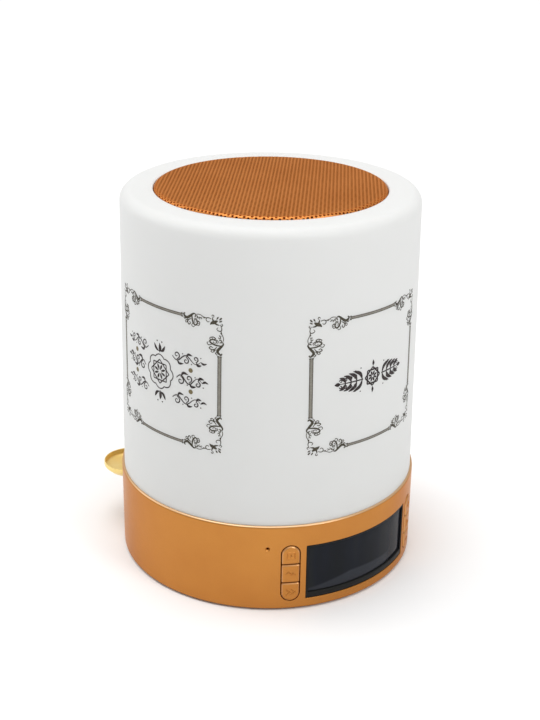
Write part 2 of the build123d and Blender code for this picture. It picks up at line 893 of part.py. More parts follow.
reflector_plate = tube(conduit_radius - conduit_wall, reflector_radius, seam_level, light_level)
keep(reflector_plate, "reflector_plate")

led_board = tube(light_board_inner, light_board_outer, light_level, chip_level)
keep(led_board, "led_board")

with BuildPart() as led_chips:
    with BuildSketch(Plane.XY.offset(chip_level)):
        with PolarLocations(chip_ring, chip_count):
            Rectangle(chip_side, chip_side)
    extrude(amount=chip_height)
keep(led_chips, "led_chips")

# ---------------------------------------------------------------- speaker

washer_top = flange_level - basket_depth
magnet_top = washer_top - washer_thickness
magnet_low = magnet_top - magnet_height
yoke_low = magnet_low - yoke_thickness
coil_inner = pole_radius + coil_gap
coil_outer = coil_inner + coil_wall
gap_radius = coil_outer + coil_gap
neck_radius = magnet_radius - 2 * yoke_thickness
basket_mouth = surround_radius + surround_roll - basket_lip
speaker_screw_ring = (speaker_radius + basket_radius) / 2 + speaker_screw_shift
speaker_screw_places = circle_places(speaker_screw_ring, 4, 0)
cone_top = speaker_face
cone_low = cone_top - cone_depth

with BuildPart() as speaker_carrier:
    with BuildSketch(Plane.XY.offset(carrier_level - carrier_thickness)):
        Circle(carrier_radius)
        Circle(basket_radius + 2 * fit_gap, mode=Mode.SUBTRACT)
        with Locations(*carrier_post_places):
            Circle(screw_radius + screw_pass, mode=Mode.SUBTRACT)
        with Locations(*speaker_screw_places):
            Circle(small_screw_radius + screw_play, mode=Mode.SUBTRACT)
    extrude(amount=carrier_thickness)
keep(speaker_carrier, "speaker_carrier")

carrier_low = carrier_level - carrier_thickness
carrier_screws = screws(
    carrier_post_places, carrier_low - screw_head_height, carrier_low, screw_radius,
    screw_head_radius, carrier_level + carrier_post_height - fit_gap,
)
keep(carrier_screws, "carrier_screws")

with BuildPart() as speaker_gasket:
    with BuildSketch(Plane.XY.offset(carrier_level)):
        Circle(speaker_radius)
        Circle(basket_radius + 2 * fit_gap, mode=Mode.SUBTRACT)
        with Locations(*speaker_screw_places):
            Circle(small_screw_radius + screw_play, mode=Mode.SUBTRACT)
    extrude(amount=gasket_thickness)
keep(speaker_gasket, "speaker_gasket")

with BuildPart() as speaker_basket:
    with BuildSketch(Plane.XZ):
        with BuildLine():
            Polyline(
                (basket_mouth, speaker_face),
                (speaker_radius, speaker_face),
                (speaker_radius, flange_level),
                (basket_radius, flange_level),
                (neck_radius, washer_top + basket_wall),
                (neck_radius, washer_top),
                (gap_radius + basket_foot, washer_top),
                (gap_radius + basket_foot, washer_top + basket_wall),
                (neck_radius - basket_wall, washer_top + basket_wall),
                (basket_mouth, flange_level),
                close=True,
            )
        make_face()
    revolve(axis=Axis.Z)
    with BuildSketch(Plane.XY.offset(flange_level)):
        with Locations(*speaker_screw_places):
            Circle(small_screw_radius + screw_play)
    extrude(amount=flange_thickness, mode=Mode.SUBTRACT)
    # windows between the basket's four arms
    with BuildSketch(Plane.XY.offset(washer_top + 2 * basket_wall)):
        with PolarLocations((neck_radius + basket_radius) / 2, 4, start_angle=45):
            Rectangle(basket_radius, neck_radius)
    extrude(amount=basket_depth - 4 * basket_wall, mode=Mode.SUBTRACT)
keep(speaker_basket, "speaker_basket")

speaker_screws = screws(
    speaker_screw_places, speaker_face, speaker_face + small_head_height, small_screw_radius,
    small_head_radius, carrier_low + fit_gap,
)
keep(speaker_screws, "speaker_screws")

speaker_washer = tube(gap_radius, magnet_radius - washer_inset, magnet_top, washer_top)
keep(speaker_washer, "speaker_washer")

speaker_magnet = tube(gap_radius + magnet_gap, magnet_radius, magnet_low, magnet_top)
keep(speaker_magnet, "speaker_magnet")

with BuildPart() as speaker_yoke:
    with BuildSketch(Plane.XY.offset(yoke_low)):
        Circle(magnet_radius)
    extrude(amount=yoke_thickness)
    with BuildSketch(Plane.XY.offset(magnet_low)):
        Circle(pole_radius)
    extrude(amount=washer_top - magnet_low)
keep(speaker_yoke, "speaker_yoke")

voice_coil = tube(coil_inner, coil_outer, magnet_top - washer_thickness, cone_low + cone_wall)
keep(voice_coil, "voice_coil")

with BuildPart() as speaker_cone:
    with BuildSketch(Plane.XZ):
        with BuildLine():
            Polyline(
                (coil_outer + slip_gap, cone_low),
                (cone_radius, cone_top - cone_wall),
                (cone_radius, cone_top),
                (cone_radius - cone_rim, cone_top),
                (coil_outer + slip_gap, cone_low + 1.5 * cone_wall),
                close=True,
            )
        make_face()
    revolve(axis=Axis.Z)
keep(speaker_cone, "speaker_cone")

cap_foot = coil_outer - coil_wall / 2
with BuildPart() as dust_cap:
    with BuildSketch(Plane.XZ):
        with BuildLine():
            outer_arc = ThreePointArc(
                (-coil_outer, cone_low + cone_wall),
                (0, cone_low + cone_wall + cap_rise),
                (coil_outer, cone_low + cone_wall),
            )
            Line(outer_arc @ 0, outer_arc @ 1)
        make_face()
        with BuildLine():
            inner_arc = ThreePointArc(
                (-cap_foot, cone_low + cone_wall),
                (0, cone_low + cone_wall + cap_rise - coil_wall),
                (cap_foot, cone_low + cone_wall),
            )
            Line(inner_arc @ 0, inner_arc @ 1)
        make_face(mode=Mode.SUBTRACT)
        with Locations((-2 * coil_outer, cone_low)):
            Rectangle(4 * coil_outer, 4 * cap_rise + 4 * cone_depth, mode=Mode.SUBTRACT)
    revolve(axis=Axis.Z)
keep(dust_cap, "dust_cap")

with BuildPart() as speaker_surround:
    with BuildSketch(Plane.XZ):
        with Locations((surround_radius, speaker_face)):
            Circle(surround_roll)
            Circle(surround_roll - surround_skin, mode=Mode.SUBTRACT)
            with Locations((0, -surround_roll / 2)):
                Rectangle(3 * surround_roll, surround_roll, mode=Mode.SUBTRACT)
        # the foot that is glued to the basket's rim
        with Locations((surround_radius + surround_roll - surround_skin / 2, speaker_face)):
            Rectangle(surround_roll, surround_skin, align=(Align.MIN, Align.MIN))
    revolve(axis=Axis.Z)
keep(speaker_surround, "speaker_surround")

spider_level = washer_top + 2 * basket_wall
spider_slope = (basket_radius - neck_radius) / (basket_depth - basket_wall)
spider_radius = neck_radius - basket_wall + spider_slope * basket_wall - fit_gap
speaker_spider = tube(
    coil_outer + slip_gap, spider_radius, spider_level, spider_level + spider_thickness
)
keep(speaker_spider, "speaker_spider")

cloth_level = grille_level - grille_thickness
with BuildPart() as grille_cloth:
    with BuildSketch(Plane.XY.offset(cloth_level - cloth_thickness)):
        Circle(grille_radius - grille_thickness - fit_gap)
    extrude(amount=cloth_thickness)
keep(grille_cloth, "grille_cloth")

with BuildPart() as speaker_grille:
    with BuildSketch(Plane.XY.offset(carrier_level)):
        Circle(grille_radius)
    extrude(amount=grille_level - carrier_level)
    fillet(speaker_grille.edges().group_by(Axis.Z)[-1], grille_round)
    with BuildSketch(Plane.XY.offset(carrier_level)):
        Circle(grille_radius - grille_thickness)
    extrude(amount=cloth_level - carrier_level, mode=Mode.SUBTRACT)
keep(speaker_grille, "speaker_grille")

# ---------------------------------------------------------------- lead up to the speaker

with BuildPart() as conduit:
    with BuildSketch(Plane.XY.offset(light_level)):
        Circle(conduit_foot_radius)
    extrude(amount=conduit_foot_height)
    with BuildSketch(Plane.XY.offset(light_level)):
        Circle(conduit_radius)
    extrude(amount=yoke_low - fit_gap - light_level)
    with BuildSketch(Plane.XY.offset(light_level)):
        Circle(conduit_radius - conduit_wall)
    extrude(amount=yoke_low - light_level, mode=Mode.SUBTRACT)
keep(conduit, "conduit")

speaker_lead = tube(0, lead_radius, port_level + plug_height, yoke_low - 2 * fit_gap)
keep(speaker_lead, "speaker_lead")
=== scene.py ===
from math import asin, atan2, cos, degrees, pi, radians, sin, sqrt, tan
import bmesh
import bpy
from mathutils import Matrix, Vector


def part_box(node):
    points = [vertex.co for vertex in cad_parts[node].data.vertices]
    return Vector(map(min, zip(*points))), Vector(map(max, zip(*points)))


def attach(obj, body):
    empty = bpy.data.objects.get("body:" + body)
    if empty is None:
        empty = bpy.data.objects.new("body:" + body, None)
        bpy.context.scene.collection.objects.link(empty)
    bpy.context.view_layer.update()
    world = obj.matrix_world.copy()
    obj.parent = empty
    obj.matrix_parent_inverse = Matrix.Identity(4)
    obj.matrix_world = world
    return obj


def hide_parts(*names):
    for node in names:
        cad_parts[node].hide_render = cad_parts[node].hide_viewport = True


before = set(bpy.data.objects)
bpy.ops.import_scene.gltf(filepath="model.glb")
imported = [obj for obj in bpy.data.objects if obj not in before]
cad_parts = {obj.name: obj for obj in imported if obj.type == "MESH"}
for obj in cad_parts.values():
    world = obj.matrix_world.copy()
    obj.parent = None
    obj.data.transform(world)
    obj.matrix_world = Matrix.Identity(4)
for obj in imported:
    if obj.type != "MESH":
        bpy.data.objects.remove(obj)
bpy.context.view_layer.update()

# lengths are in millimetres unless a note says metres; meshes are made in metres
mm = 0.001
scene = bpy.context.scene
scene.view_settings.view_transform = "Standard"


def span(node):
    low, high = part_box(node)
    return Vector(low) / mm, Vector(high) / mm


# ---- sockets as plain sums, and one method for every node


def operator(operation, reflected=False):
    def apply(self, other):
        return self.graph.maths(operation, *((other, self) if reflected else (self, other)))
    return apply


class Link:
    __add__, __radd__ = operator("ADD"), operator("ADD", True)
    __sub__, __rsub__ = operator("SUBTRACT"), operator("SUBTRACT", True)
    __mul__, __rmul__ = operator("MULTIPLY"), operator("MULTIPLY", True)
    __truediv__, __rtruediv__ = operator("DIVIDE"), operator("DIVIDE", True)
    __lt__, __gt__ = operator("LESS_THAN"), operator("GREATER_THAN")

    def __init__(self, graph, socket):
        self.graph, self.socket = graph, socket

    def part(self, axis):
        return self.graph.node("ShaderNodeSeparateXYZ", None, {"Vector": self}, axis)


class Graph:
    def __init__(self, tree):
        self.tree = tree

    def node(self, kind, settings=None, sockets=None, output=0):
        made = self.tree.nodes.new(kind)
        for name, value in (settings or {}).items():
            if name == "stops":
                ramp = made.color_ramp.elements
                while len(ramp) < len(value):
                    ramp.new(0.5)
                for stop, (at, colour) in zip(ramp, value):
                    stop.position, stop.color = at, (*colour, 1)
            else:
                setattr(made, name, value)
        for name, value in (sockets or {}).items():
            self.plug(made.inputs[name], value)
        return Link(self, made.outputs[output])

    def plug(self, socket, value):
        if isinstance(value, Link):
            self.tree.links.new(value.socket, socket)
        elif socket.type == "RGBA":
            socket.default_value = (*value, 1)
        else:
            socket.default_value = value

    def maths(self, operation, *values):
        return self.node("ShaderNodeMath", {"operation": operation}, dict(enumerate(values)))


# ---- finishes


class Finish(Graph):
    def __init__(self, name, **plain):
        self.material = bpy.data.materials.new(name)
        self.material.use_nodes = True
        super().__init__(self.material.node_tree)
        self.tree.nodes.clear()
        self.shader = self.tree.nodes.new("ShaderNodeBsdfPrincipled")
        last = self.tree.nodes.new("ShaderNodeOutputMaterial")
        self.tree.links.new(self.shader.outputs[0], last.inputs[0])
        self.coords = self.node("ShaderNodeTexCoord", output="Object")
        for socket, value in plain.items():
            self.set(socket.replace("_", " "), value)

    def set(self, socket, value):
        self.plug(self.shader.inputs[socket], value)

    def grain(self, size, detail=2.0, rough=0.5, stretch=None):
        # soft noise, with blotches of about this size
        at = self.coords
        if stretch:
            at = self.node("ShaderNodeMapping", sockets={"Vector": at, "Scale": stretch})
        return self.node(
            "ShaderNodeTexNoise", None,
            {"Vector": at, "Scale": 1 / (size * mm), "Detail": detail, "Roughness": rough})

    def cells(self, size, feature="F1"):
        return self.node(
            "ShaderNodeTexVoronoi", {"feature": feature},
            {"Vector": self.coords, "Scale": 1 / (size * mm)})

    def blend(self, factor, first, second, way="MIX"):
        settings = {"data_type": "RGBA", "blend_type": way}
        return self.node("ShaderNodeMix", settings, {0: factor, 6: first, 7: second}, 2)

    def ramp(self, factor, *stops):
        return self.node("ShaderNodeValToRGB", {"stops": stops}, {"Fac": factor})

    def dress(self, colour, rough, height, depth, strength):
        # all that changes over the surface; hands back the finished material
        self.set("Base Color", colour)
        self.set("Roughness", rough)
        self.set("Normal", self.node(
            "ShaderNodeBump", None,
            {"Height": height, "Distance": depth * mm, "Strength": strength}))
        return self.material


def toned(colour, share, more=0.0):
    return tuple(c * share + more for c in colour)


def copperPaint(name, light, dark, rough, metal, coat, paintedHighlight=None):
    # fine metal flakes in a satin lacquer, a little deeper in tone where it lies thicker,
    # with a painted highlight: paler paint along the seam and on the bevels of the caps, for the
    # light they catch
    made = Finish(
        name, Metallic=metal, Coat_Weight=coat, Coat_Roughness=0.2, Specular_Tint=(0.8, 0.5, 0.3))
    flake = made.cells(0.16)
    tone = made.ramp(made.grain(26, 3), (0.3, dark), (0.7, light))
    sparkle = made.ramp(flake, (0.0, (0.86, 0.86, 0.86)), (0.7, (1.05, 1.05, 1.05)))
    paint = made.blend(0.5, tone, sparkle, "MULTIPLY")
    if paintedHighlight:
        x, y, z = (made.coords.part(axis) for axis in "XYZ")
        reach = made.maths("SQRT", x * x + y * y)
        seam = (z - paintedHighlight["seam"] * mm) / (paintedHighlight["soft"] * mm)
        bevel = (reach > paintedHighlight["near"] * mm) * (reach < paintedHighlight["far"] * mm) * paintedHighlight["share"]
        # painted highlight: blends toward the pale tone along the seam and on the caps' bevels
        paint = made.blend(made.maths("MAXIMUM", seam, bevel), paint, paintedHighlight["tone"])
    grit = made.grain(0.45, 3) + 0.4 * flake
    return made.dress(paint, rough - 0.05 + 0.10 * made.grain(1.3), grit, 0.012, 0.35)


def mouldedPlastic(name, colour, rough, size=0.4, depth=0.01, **plain):
    made = Finish(name, **plain)
    stops = (0.25, toned(colour, 0.9)), (0.75, toned(colour, 1.12, 0.004))
    tone = made.ramp(made.grain(9, 3), *stops)
    return made.dress(tone, rough - 0.04 + 0.08 * made.grain(2.1), made.grain(size, 4), depth, 0.5)


def shadeWhite(name):
    # matt milk-white plastic that glows a little inside its wall; painted light: its colour pales
    # toward the top, standing in for the light that falls from above
    made = Finish(
        name, Subsurface_Weight=0.35, Subsurface_Scale=0.004, Subsurface_Radius=(1.0, 0.95, 0.9),
        Specular_IOR_Level=0.35)
    clockTall = 160
    level = made.coords.part("Z") / (clockTall * mm)
    # painted light: mostly height, so the white is lighter high up and darker low down
    milkWithPaintedTopLight = made.ramp(
        0.2 * made.grain(30, 2) + 0.8 * level,
        (0.2, (0.685, 0.689, 0.676)), (0.9, (0.745, 0.748, 0.737)))
    return made.dress(milkWithPaintedTopLight, 0.46 + 0.10 * made.grain(3.5, 3), made.grain(0.5, 3), 0.01, 0.4)


def platedMetal(name, colour, rough):
    made = Finish(name, Metallic=1.0)
    lines = made.grain(1.2, 4, 0.6)
    tone = made.ramp(made.grain(6, 3), (0.3, toned(colour, 0.88)), (0.7, colour))
    return made.dress(tone, rough - 0.05 + 0.12 * lines, lines, 0.006, 0.3)


def polishedGold(name):
    # bright lacquered gold with faint turning rings and soft handling marks
    made = Finish(name, Metallic=0.45)
    tone = made.ramp(made.grain(4, 4), (0.3, (0.96, 0.73, 0.25)), (0.7, (1.0, 0.80, 0.34)))
    rings = made.grain(0.7, 3, 0.5, (1, 1, 6))
    return made.dress(tone, 0.30 + 0.12 * made.grain(1.6, 3), rings, 0.006, 0.4)


# painted reflection: a pale band across the lower part of the lens, standing in for bright
# surroundings mirrored in it
paintedReflection = {
    # the two slopes of its upper edge: the height at the window's middle, and the rise across
    "slopes": ((14.6, 0.22), (12.7, -0.04)), "soft": 1.0,
    "end": 17.5, "endSoft": 4.0,  # where it fades out, to the right of the middle
    "tone": (0.034, 0.037, 0.045),
}


def smokedLens(name):
    # dark window over the display, with faint upright bands, and a painted reflection: a pale band
    # low down, standing in for the bright surroundings mirrored in the lens
    made = Finish(name, Specular_IOR_Level=0.06)
    bands = made.grain(13, 2, 0.5, (1, 1, 0.18))
    tint = made.ramp(
        bands, (0.3, (0.012, 0.013, 0.012)), (0.5, (0.014, 0.016, 0.022)),
        (0.72, (0.024, 0.025, 0.021)))
    across, height = made.coords.part("X"), made.coords.part("Z")
    # painted reflection: the pale band below its sloped upper edge, fading out to the right
    slopes = [level * mm + across * rise for level, rise in paintedReflection["slopes"]]
    below = (made.maths("MINIMUM", *slopes) - height) / (paintedReflection["soft"] * mm)
    beside = (paintedReflection["end"] * mm - across) / (paintedReflection["endSoft"] * mm)
    tone = made.blend(made.maths("MINIMUM", below, beside), tint, paintedReflection["tone"])
    return made.dress(tone, 0.09 + 0.07 * made.grain(5, 3), made.grain(7, 2), 0.02, 0.15)


def rubber(name, colour, rough=0.75):
    made = Finish(name, Specular_IOR_Level=0.3)
    dust = made.ramp(made.grain(5, 4), (0.3, colour), (0.8, toned(colour, 1.6, 0.01)))
    return made.dress(dust, rough + 0.1 * made.grain(1.1), made.grain(0.3, 3), 0.02, 0.6)


def circuitBoard(name):
    # green lacquer over copper tracks
    made = Finish(name, Specular_IOR_Level=0.5)
    tracks = made.cells(2.4, "DISTANCE_TO_EDGE") < 0.09
    tone = made.blend(tracks, (0.012, 0.085, 0.03), (0.03, 0.16, 0.06))
    return made.dress(tone, 0.32 + 0.1 * made.grain(2), tracks, 0.03, 0.6)


def wovenCloth(name, colour):
    made = Finish(name, Specular_IOR_Level=0.2)
    warp, weft = (
        made.node(
            "ShaderNodeTexWave", {"bands_direction": way},
            {"Vector": made.coords, "Scale": 1 / (2.4 * mm), "Distortion": 0.6})
        for way in ("X", "Y"))
    weave = warp * weft
    tone = made.ramp(weave, (0.1, toned(colour, 0.6)), (0.8, colour))
    return made.dress(tone, 0.85 + 0.1 * made.grain(2), weave, 0.05, 0.7)


def pulpPaper(name, colour):
    made = Finish(name, Specular_IOR_Level=0.2)
    fibres = made.grain(0.8, 6, 0.7, (1, 1, 3))
    tone = made.ramp(fibres, (0.3, toned(colour, 0.7)), (0.7, colour))
    return made.dress(tone, 0.8 + 0.15 * fibres, fibres, 0.05, 0.6)


def printInk(name, colour, paler):
    # transfer print: a shade patchy, as thin ink is
    made = Finish(name, Specular_IOR_Level=0.3)
    patch = made.grain(0.9, 4, 0.6)
    tone = made.ramp(patch, (0.35, colour), (0.75, paler))
    return made.dress(tone, 0.5 + 0.15 * made.grain(0.5), patch, 0.004, 0.3)


baseLow, baseHigh = span("base_housing")
# painted highlight on the copper paint: paler along the seam's edge and on the caps' bevels,
# standing in for the light they catch
paintedHighlight = {
    "seam": baseHigh.z - 0.55, "soft": 0.35,  # the level it starts at, and how softly
    "near": baseHigh.x + 0.04, "far": baseHigh.x + 0.44, "share": 0.33,  # the caps' bevels
    "tone": (0.79, 0.52, 0.29),
}
finishes = {
    "copper_paint": copperPaint(
        "copper_paint_finish", (0.535, 0.215, 0.035), (0.49, 0.185, 0.028), 0.38, 0.85, 0.4,
        paintedHighlight),
    "grille_copper": copperPaint(
        "grille_copper_finish", (0.71, 0.265, 0.068), (0.63, 0.22, 0.05), 0.42, 0.65, 0.0),
    "shade_white": shadeWhite("shade_white_finish"),
    "black_plastic": mouldedPlastic(
        "black_plastic_finish", (0.010, 0.010, 0.009), 0.42, Specular_IOR_Level=0.12),
    "smoked_lens": smokedLens("smoked_lens_finish"),
    "display_glass": mouldedPlastic("display_glass_finish", (0.09, 0.10, 0.085), 0.12, 2.0, 0.004),
    "black_rubber": rubber("black_rubber_finish", (0.02, 0.02, 0.02)),
    "polished_gold": polishedGold("polished_gold_finish"),
    "plated_steel": platedMetal("plated_steel_finish", (0.66, 0.66, 0.65), 0.28),
    "circuit_board": circuitBoard("circuit_board_finish"),
    "component_black": mouldedPlastic("component_black_finish", (0.018, 0.018, 0.020), 0.5, 0.3),
    "white_plastic": mouldedPlastic("white_plastic_finish", (0.74, 0.74, 0.71), 0.42),
    "cell_wrap": mouldedPlastic("cell_wrap_finish", (0.03, 0.13, 0.30), 0.3, 3.0, 0.02),
    "ferrite": mouldedPlastic("ferrite_finish", (0.045, 0.045, 0.05), 0.62, 0.3, 0.03),
    "cone_paper": pulpPaper("cone_paper_finish", (0.04, 0.038, 0.035)),
    "acoustic_cloth": wovenCloth("acoustic_cloth_finish", (0.018, 0.014, 0.012)),
    "lead_jacket": rubber("lead_jacket_finish", (0.05, 0.05, 0.05), 0.5),
}
inks = {
    "rules": printInk("rule_ink", (0.20, 0.185, 0.155), (0.28, 0.265, 0.23)),
    "scrolls": printInk("scroll_ink", (0.040, 0.034, 0.022), (0.085, 0.074, 0.052)),
    "motif": printInk("motif_ink", (0.019, 0.012, 0.012), (0.045, 0.033, 0.032)),
    "roundels": printInk("roundel_ink", (0.14, 0.11, 0.05), (0.22, 0.18, 0.09)),
}

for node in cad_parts.values():
    for held in node.material_slots:
        held.material = finishes[held.material.name]
print("finishes made:", len(bpy.data.materials))


# ---- shapes


def roundedLoop(corners):
    # corners: (x, y, radius, arc steps, pieces of the straight run that follows)
    loop, ends, count = [], [], len(corners)
    for i, (x, y, radius, steps, pieces) in enumerate(corners):
        here = Vector((x, y))
        if radius <= 0:
            ends.append([here])
            continue
        before = (Vector(corners[i - 1][:2]) - here).normalized()
        after = (Vector(corners[(i + 1) % count][:2]) - here).normalized()
        half = before.angle(after) / 2
        middle = here + (before + after).normalized() * (radius / sin(half))
        first = here + before * (radius / tan(half)) - middle
        last = here + after * (radius / tan(half)) - middle
        start = atan2(first.y, first.x)
        turn = (atan2(last.y, last.x) - start + pi) % (2 * pi) - pi
        angles = (start + turn * k / steps for k in range(steps + 1))
        ends.append([middle + Vector((cos(angle), sin(angle))) * radius for angle in angles])
    for i, corner in enumerate(corners):
        loop += ends[i]
        start, stop = ends[i][-1], ends[(i + 1) % count][0]
        loop += [start.lerp(stop, k / corner[4]) for k in range(1, corner[4])]
    return loop


def plateLoop(width, height, corner, outset, middle, steps, run):
    # an upright rounded plate, its straight sides cut in pieces about one run long
    across, up = width / 2 + outset, height / 2 + outset
    least, spare = 0.03, 0.001
    radius = min(max(corner + outset, least), across - spare, up - spare)
    long, tall = max(1, round(width / run)), max(1, round(height / run))
    corners = [
        (-across, middle - up, radius, steps, long), (across, middle - up, radius, steps, tall),
        (across, middle + up, radius, steps, long), (-across, middle + up, radius, steps, tall),
    ]
    return roundedLoop(corners)


def onWall(angle, across, height, radius):
    # a point at a radius, measured square to the wall at an angle round the base
    turn = radians(angle)
    out = sqrt(radius ** 2 - across ** 2)
    return Vector((
        across * cos(turn) + out * sin(turn), across * sin(turn) - out * cos(turn), height))


def bent(angle, loop, radius):
    return [onWall(angle, across, height, radius) for across, height in loop]


def middleOf(loop):
    return sum(loop, Vector((0, 0))) / len(loop)


def shrunk(loop, share):
    middle = middleOf(loop)
    return [middle.lerp(point, share) for point in loop]


def ringPoints(radius, count, middle=(0, 0), lag=0.0):
    # points spread evenly round a circle, the first turned by a share of one step
    angles = (2 * pi * (k + lag) / count for k in range(count))
    return [(middle[0] + radius * cos(a), middle[1] + radius * sin(a)) for a in angles]


class Shape:
    # closed shells, in millimetres, gathered for one piece
    def __init__(self):
        self.points, self.faces = [], []

    def skin(self, rings, closed=False):
        # joins rings of points in turn; a ring of one point is a pole
        starts = []
        for ring in rings:
            starts.append(len(self.points))
            self.points += ring
        for i in range(len(rings) if closed else len(rings) - 1):
            j = (i + 1) % len(rings)
            a, b = starts[i], starts[j]
            count = max(len(rings[i]), len(rings[j]))
            for k in range(count):
                following = (k + 1) % count
                if len(rings[i]) == 1:
                    self.faces.append((a, b + k, b + following))
                elif len(rings[j]) == 1:
                    self.faces.append((a + k, a + following, b))
                else:
                    self.faces.append((a + k, a + following, b + following, b + k))
        if not closed:
            for i in (0, -1):
                if len(rings[i]) > 1:
                    self.faces.append(tuple(starts[i] + k for k in range(len(rings[i]))))

    def turned(self, profile, segments, centre=(0, 0), closed=True):
        # a profile of radii and heights, turned about an upright line
        rings = []
        for radius, height in profile:
            spots = [centre] if radius < 1e-6 else ringPoints(radius, segments, centre)
            rings.append([Vector((*spot, height)) for spot in spots])
        self.skin(rings, closed)

    def pillar(self, radius, low, high, centre):
        edge, segments = 0.2, 32
        self.turned([
            (0, low), (radius - edge, low), (radius, low + edge), (radius, high - edge),
            (radius - edge, high), (0, high),
        ], segments, centre, closed=False)

    def brick(self, angle, near, far, middle, width, height, edge=0.15, shift=0.0):
        # a block square to the wall at an angle, with small chamfers on its two ends
        turn = radians(angle)
        right, out = Vector((cos(turn), sin(turn), 0)), Vector((sin(turn), -cos(turn), 0))
        corner, steps, whole = 0.25, 3, 100  # a run of this length leaves the sides in one piece
        rings = []
        for reach, inset in ((near, edge), (near + edge, 0), (far - edge, 0), (far, edge)):
            loop = plateLoop(width, height, corner, -inset, middle, steps, whole)
            rings.append([right * (shift + p.x) + out * reach + Vector((0, 0, p.y)) for p in loop])
        self.skin(rings)

    def mesh(self, name, sharp):
        made = bpy.data.meshes.new(name)
        made.from_pydata([point * mm for point in self.points], [], self.faces)
        work = bmesh.new()
        work.from_mesh(made)
        near = 1e-7  # metres
        bmesh.ops.remove_doubles(work, verts=work.verts, dist=near)
        bmesh.ops.dissolve_degenerate(work, edges=work.edges, dist=near)
        bmesh.ops.recalc_face_normals(work, faces=work.faces)
        work.to_mesh(made)
        work.free()
        smoothed(made, sharp)
        return made


def smoothed(mesh, sharp):
    mesh.shade_smooth()
    mesh.set_sharp_from_angle(angle=radians(sharp))


def added(name, mesh):
    piece = bpy.data.objects.new(name, mesh)
    scene.collection.objects.link(piece)
    return piece


def settled(piece, sharp):
    # keeps what the modifiers make as a plain mesh
    ready = piece.evaluated_get(bpy.context.evaluated_depsgraph_get())
    result = bpy.data.meshes.new_from_object(ready)
    piece.modifiers.clear()
    piece.data = result
    smoothed(result, sharp)


def seat(piece, finish, body, slot, *nodes):
    # its finish, the body it rides on, its material slot (not used) and the CAD nodes it stands for
    piece.data.materials.clear()
    piece.data.materials.append(finish)
    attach(piece, body)
    if nodes:
        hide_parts(*nodes)


def finished(shape, name, slot, body="clock", nodes=(), sharp=32, finish=None):
    piece = added(name, shape.mesh(name, sharp))
    seat(piece, finish or finishes[slot], body, slot, *nodes)


def cutOut(piece, cutters, sharp):
    # takes the cutters out of a piece, for good
    tool = added("cutters", cutters.mesh("cutters", sharp))
    cut = piece.modifiers.new("cut", "BOOLEAN")
    cut.operation, cut.solver, cut.object = "DIFFERENCE", "EXACT", tool
    settled(piece, sharp)
    bpy.data.objects.remove(tool)


def mouth(cutters, angle, loopAt, deep, outer, flare, countersunk):
    # a hole through the wall whose outer edge is rounded over by the flare, or cut to a cone;
    # past the wall the cutter widens and is closed like the hole's floor, ring by ring
    beyond, lean, cover = 0.15, tan(radians(75)), 1.0
    inward = (1, 0.7, 0.35)
    if countersunk:
        edge = [(0, 0), (0.5 * flare, 0.5 * flare), (0.88 * flare, 0.93 * flare)]
    else:
        edge = [(flare * (1 - cos(radians(t))), flare * sin(radians(t))) for t in range(0, 90, 15)]
    widest = edge[-1][0] + (flare - edge[-1][1] + beyond) * lean
    level = middleOf(loopAt(0)).y
    rings = [[onWall(angle, 0, level, deep)]]
    rings += [bent(angle, shrunk(loopAt(0), share), deep) for share in reversed(inward)]
    rings += [bent(angle, loopAt(outset), outer - flare + rise) for outset, rise in edge]
    rings.append(bent(angle, loopAt(widest), outer + beyond))
    rings += [
        bent(angle, shrunk(loopAt(widest), share), outer + beyond + cover) for share in inward]
    rings.append([onWall(angle, 0, level, outer + beyond + cover)])
    cutters.skin(rings)


# ---- base housing

padLow, padHigh = span("base_pad")
coverHigh = span("bottom_cover")[1]
screwsLow, screwsHigh = span("cover_screws")
buttonSides, buttonRows = ("left", "right"), ("bottom", "middle", "top")
buttonLevels = {
    (side, row): sum(corner.z for corner in span(f"button_{side}_{row}")) / 2
    for side in buttonSides for row in buttonRows
}
base = {
    "radius": baseHigh.x, "wall": 2.5, "deck": 2.5, "wireHole": 6.5,
    "seamRound": 0.95, "footRound": 1.0, "footEdge": 0.2, "holeEdge": 0.3, "innerRound": 0.4,
    "segments": 480, "levels": 28,
    "screwHead": 2.6, "post": 3.6, "postHole": 1.35, "postSegments": 32,
    "sink": 0.3,  # how far a post goes into the deck
    "cutDeep": 1.6,  # how far in past the wall the openings are cut
    "portFlare": 0.22,
}
window = {"wide": 54.2, "tall": 24.3, "corner": 0.4, "aboveFoot": 4.0, "flare": 0.18}
window["middle"] = baseLow.z + window["aboveFoot"] + window["tall"] / 2
pill = {"wide": 7.8, "tall": 25.4, "margin": 2.48, "flare": 0.26}
pill["middle"] = buttonLevels["left", "middle"]
pill["angle"] = degrees(
    asin(window["wide"] / 2 / base["radius"])
    + (pill["margin"] + pill["wide"] / 2) / base["radius"])
postPlaces = [
    (x * (screwsHigh.x - base["screwHead"]), y * (screwsHigh.y - base["screwHead"]))
    for x in (-1, 1) for y in (-1, 1)
]
microphone = {"angle": -40.0, "height": baseLow.z + 27.7, "wide": 0.84, "flare": 0.6}
portLevel = span("usb_socket")[0].z
ports = {
    # across, width, height, corner, level
    "usb": (1.0, 9.8, 4.0, 2.0, portLevel + 1.6),
    "card": (-12.5, 12.0, 1.4, 0.3, portLevel + 0.95),
    "switch": (12.0, 4.8, 2.2, 0.3, portLevel + 1.8),
}
dish = {
    "angle": -144.4, "reach": 63.4, "radius": 11.3, "rim": 27.2, "depth": 3.3, "wall": 0.8,
    "rimTall": 1.9, "lip": 0.5, "step": 0.1, "ledge": 2.0, "gap": 0.3, "mouthCorner": 0.3,
    "footRound": 1.0, "bellyRound": 1.6, "lipRound": 0.225, "segments": 160,
    "runner": 17.0, "runnerEnd": 1.2, "runnerWide": 2.0, "runnerTall": 1.6,
}


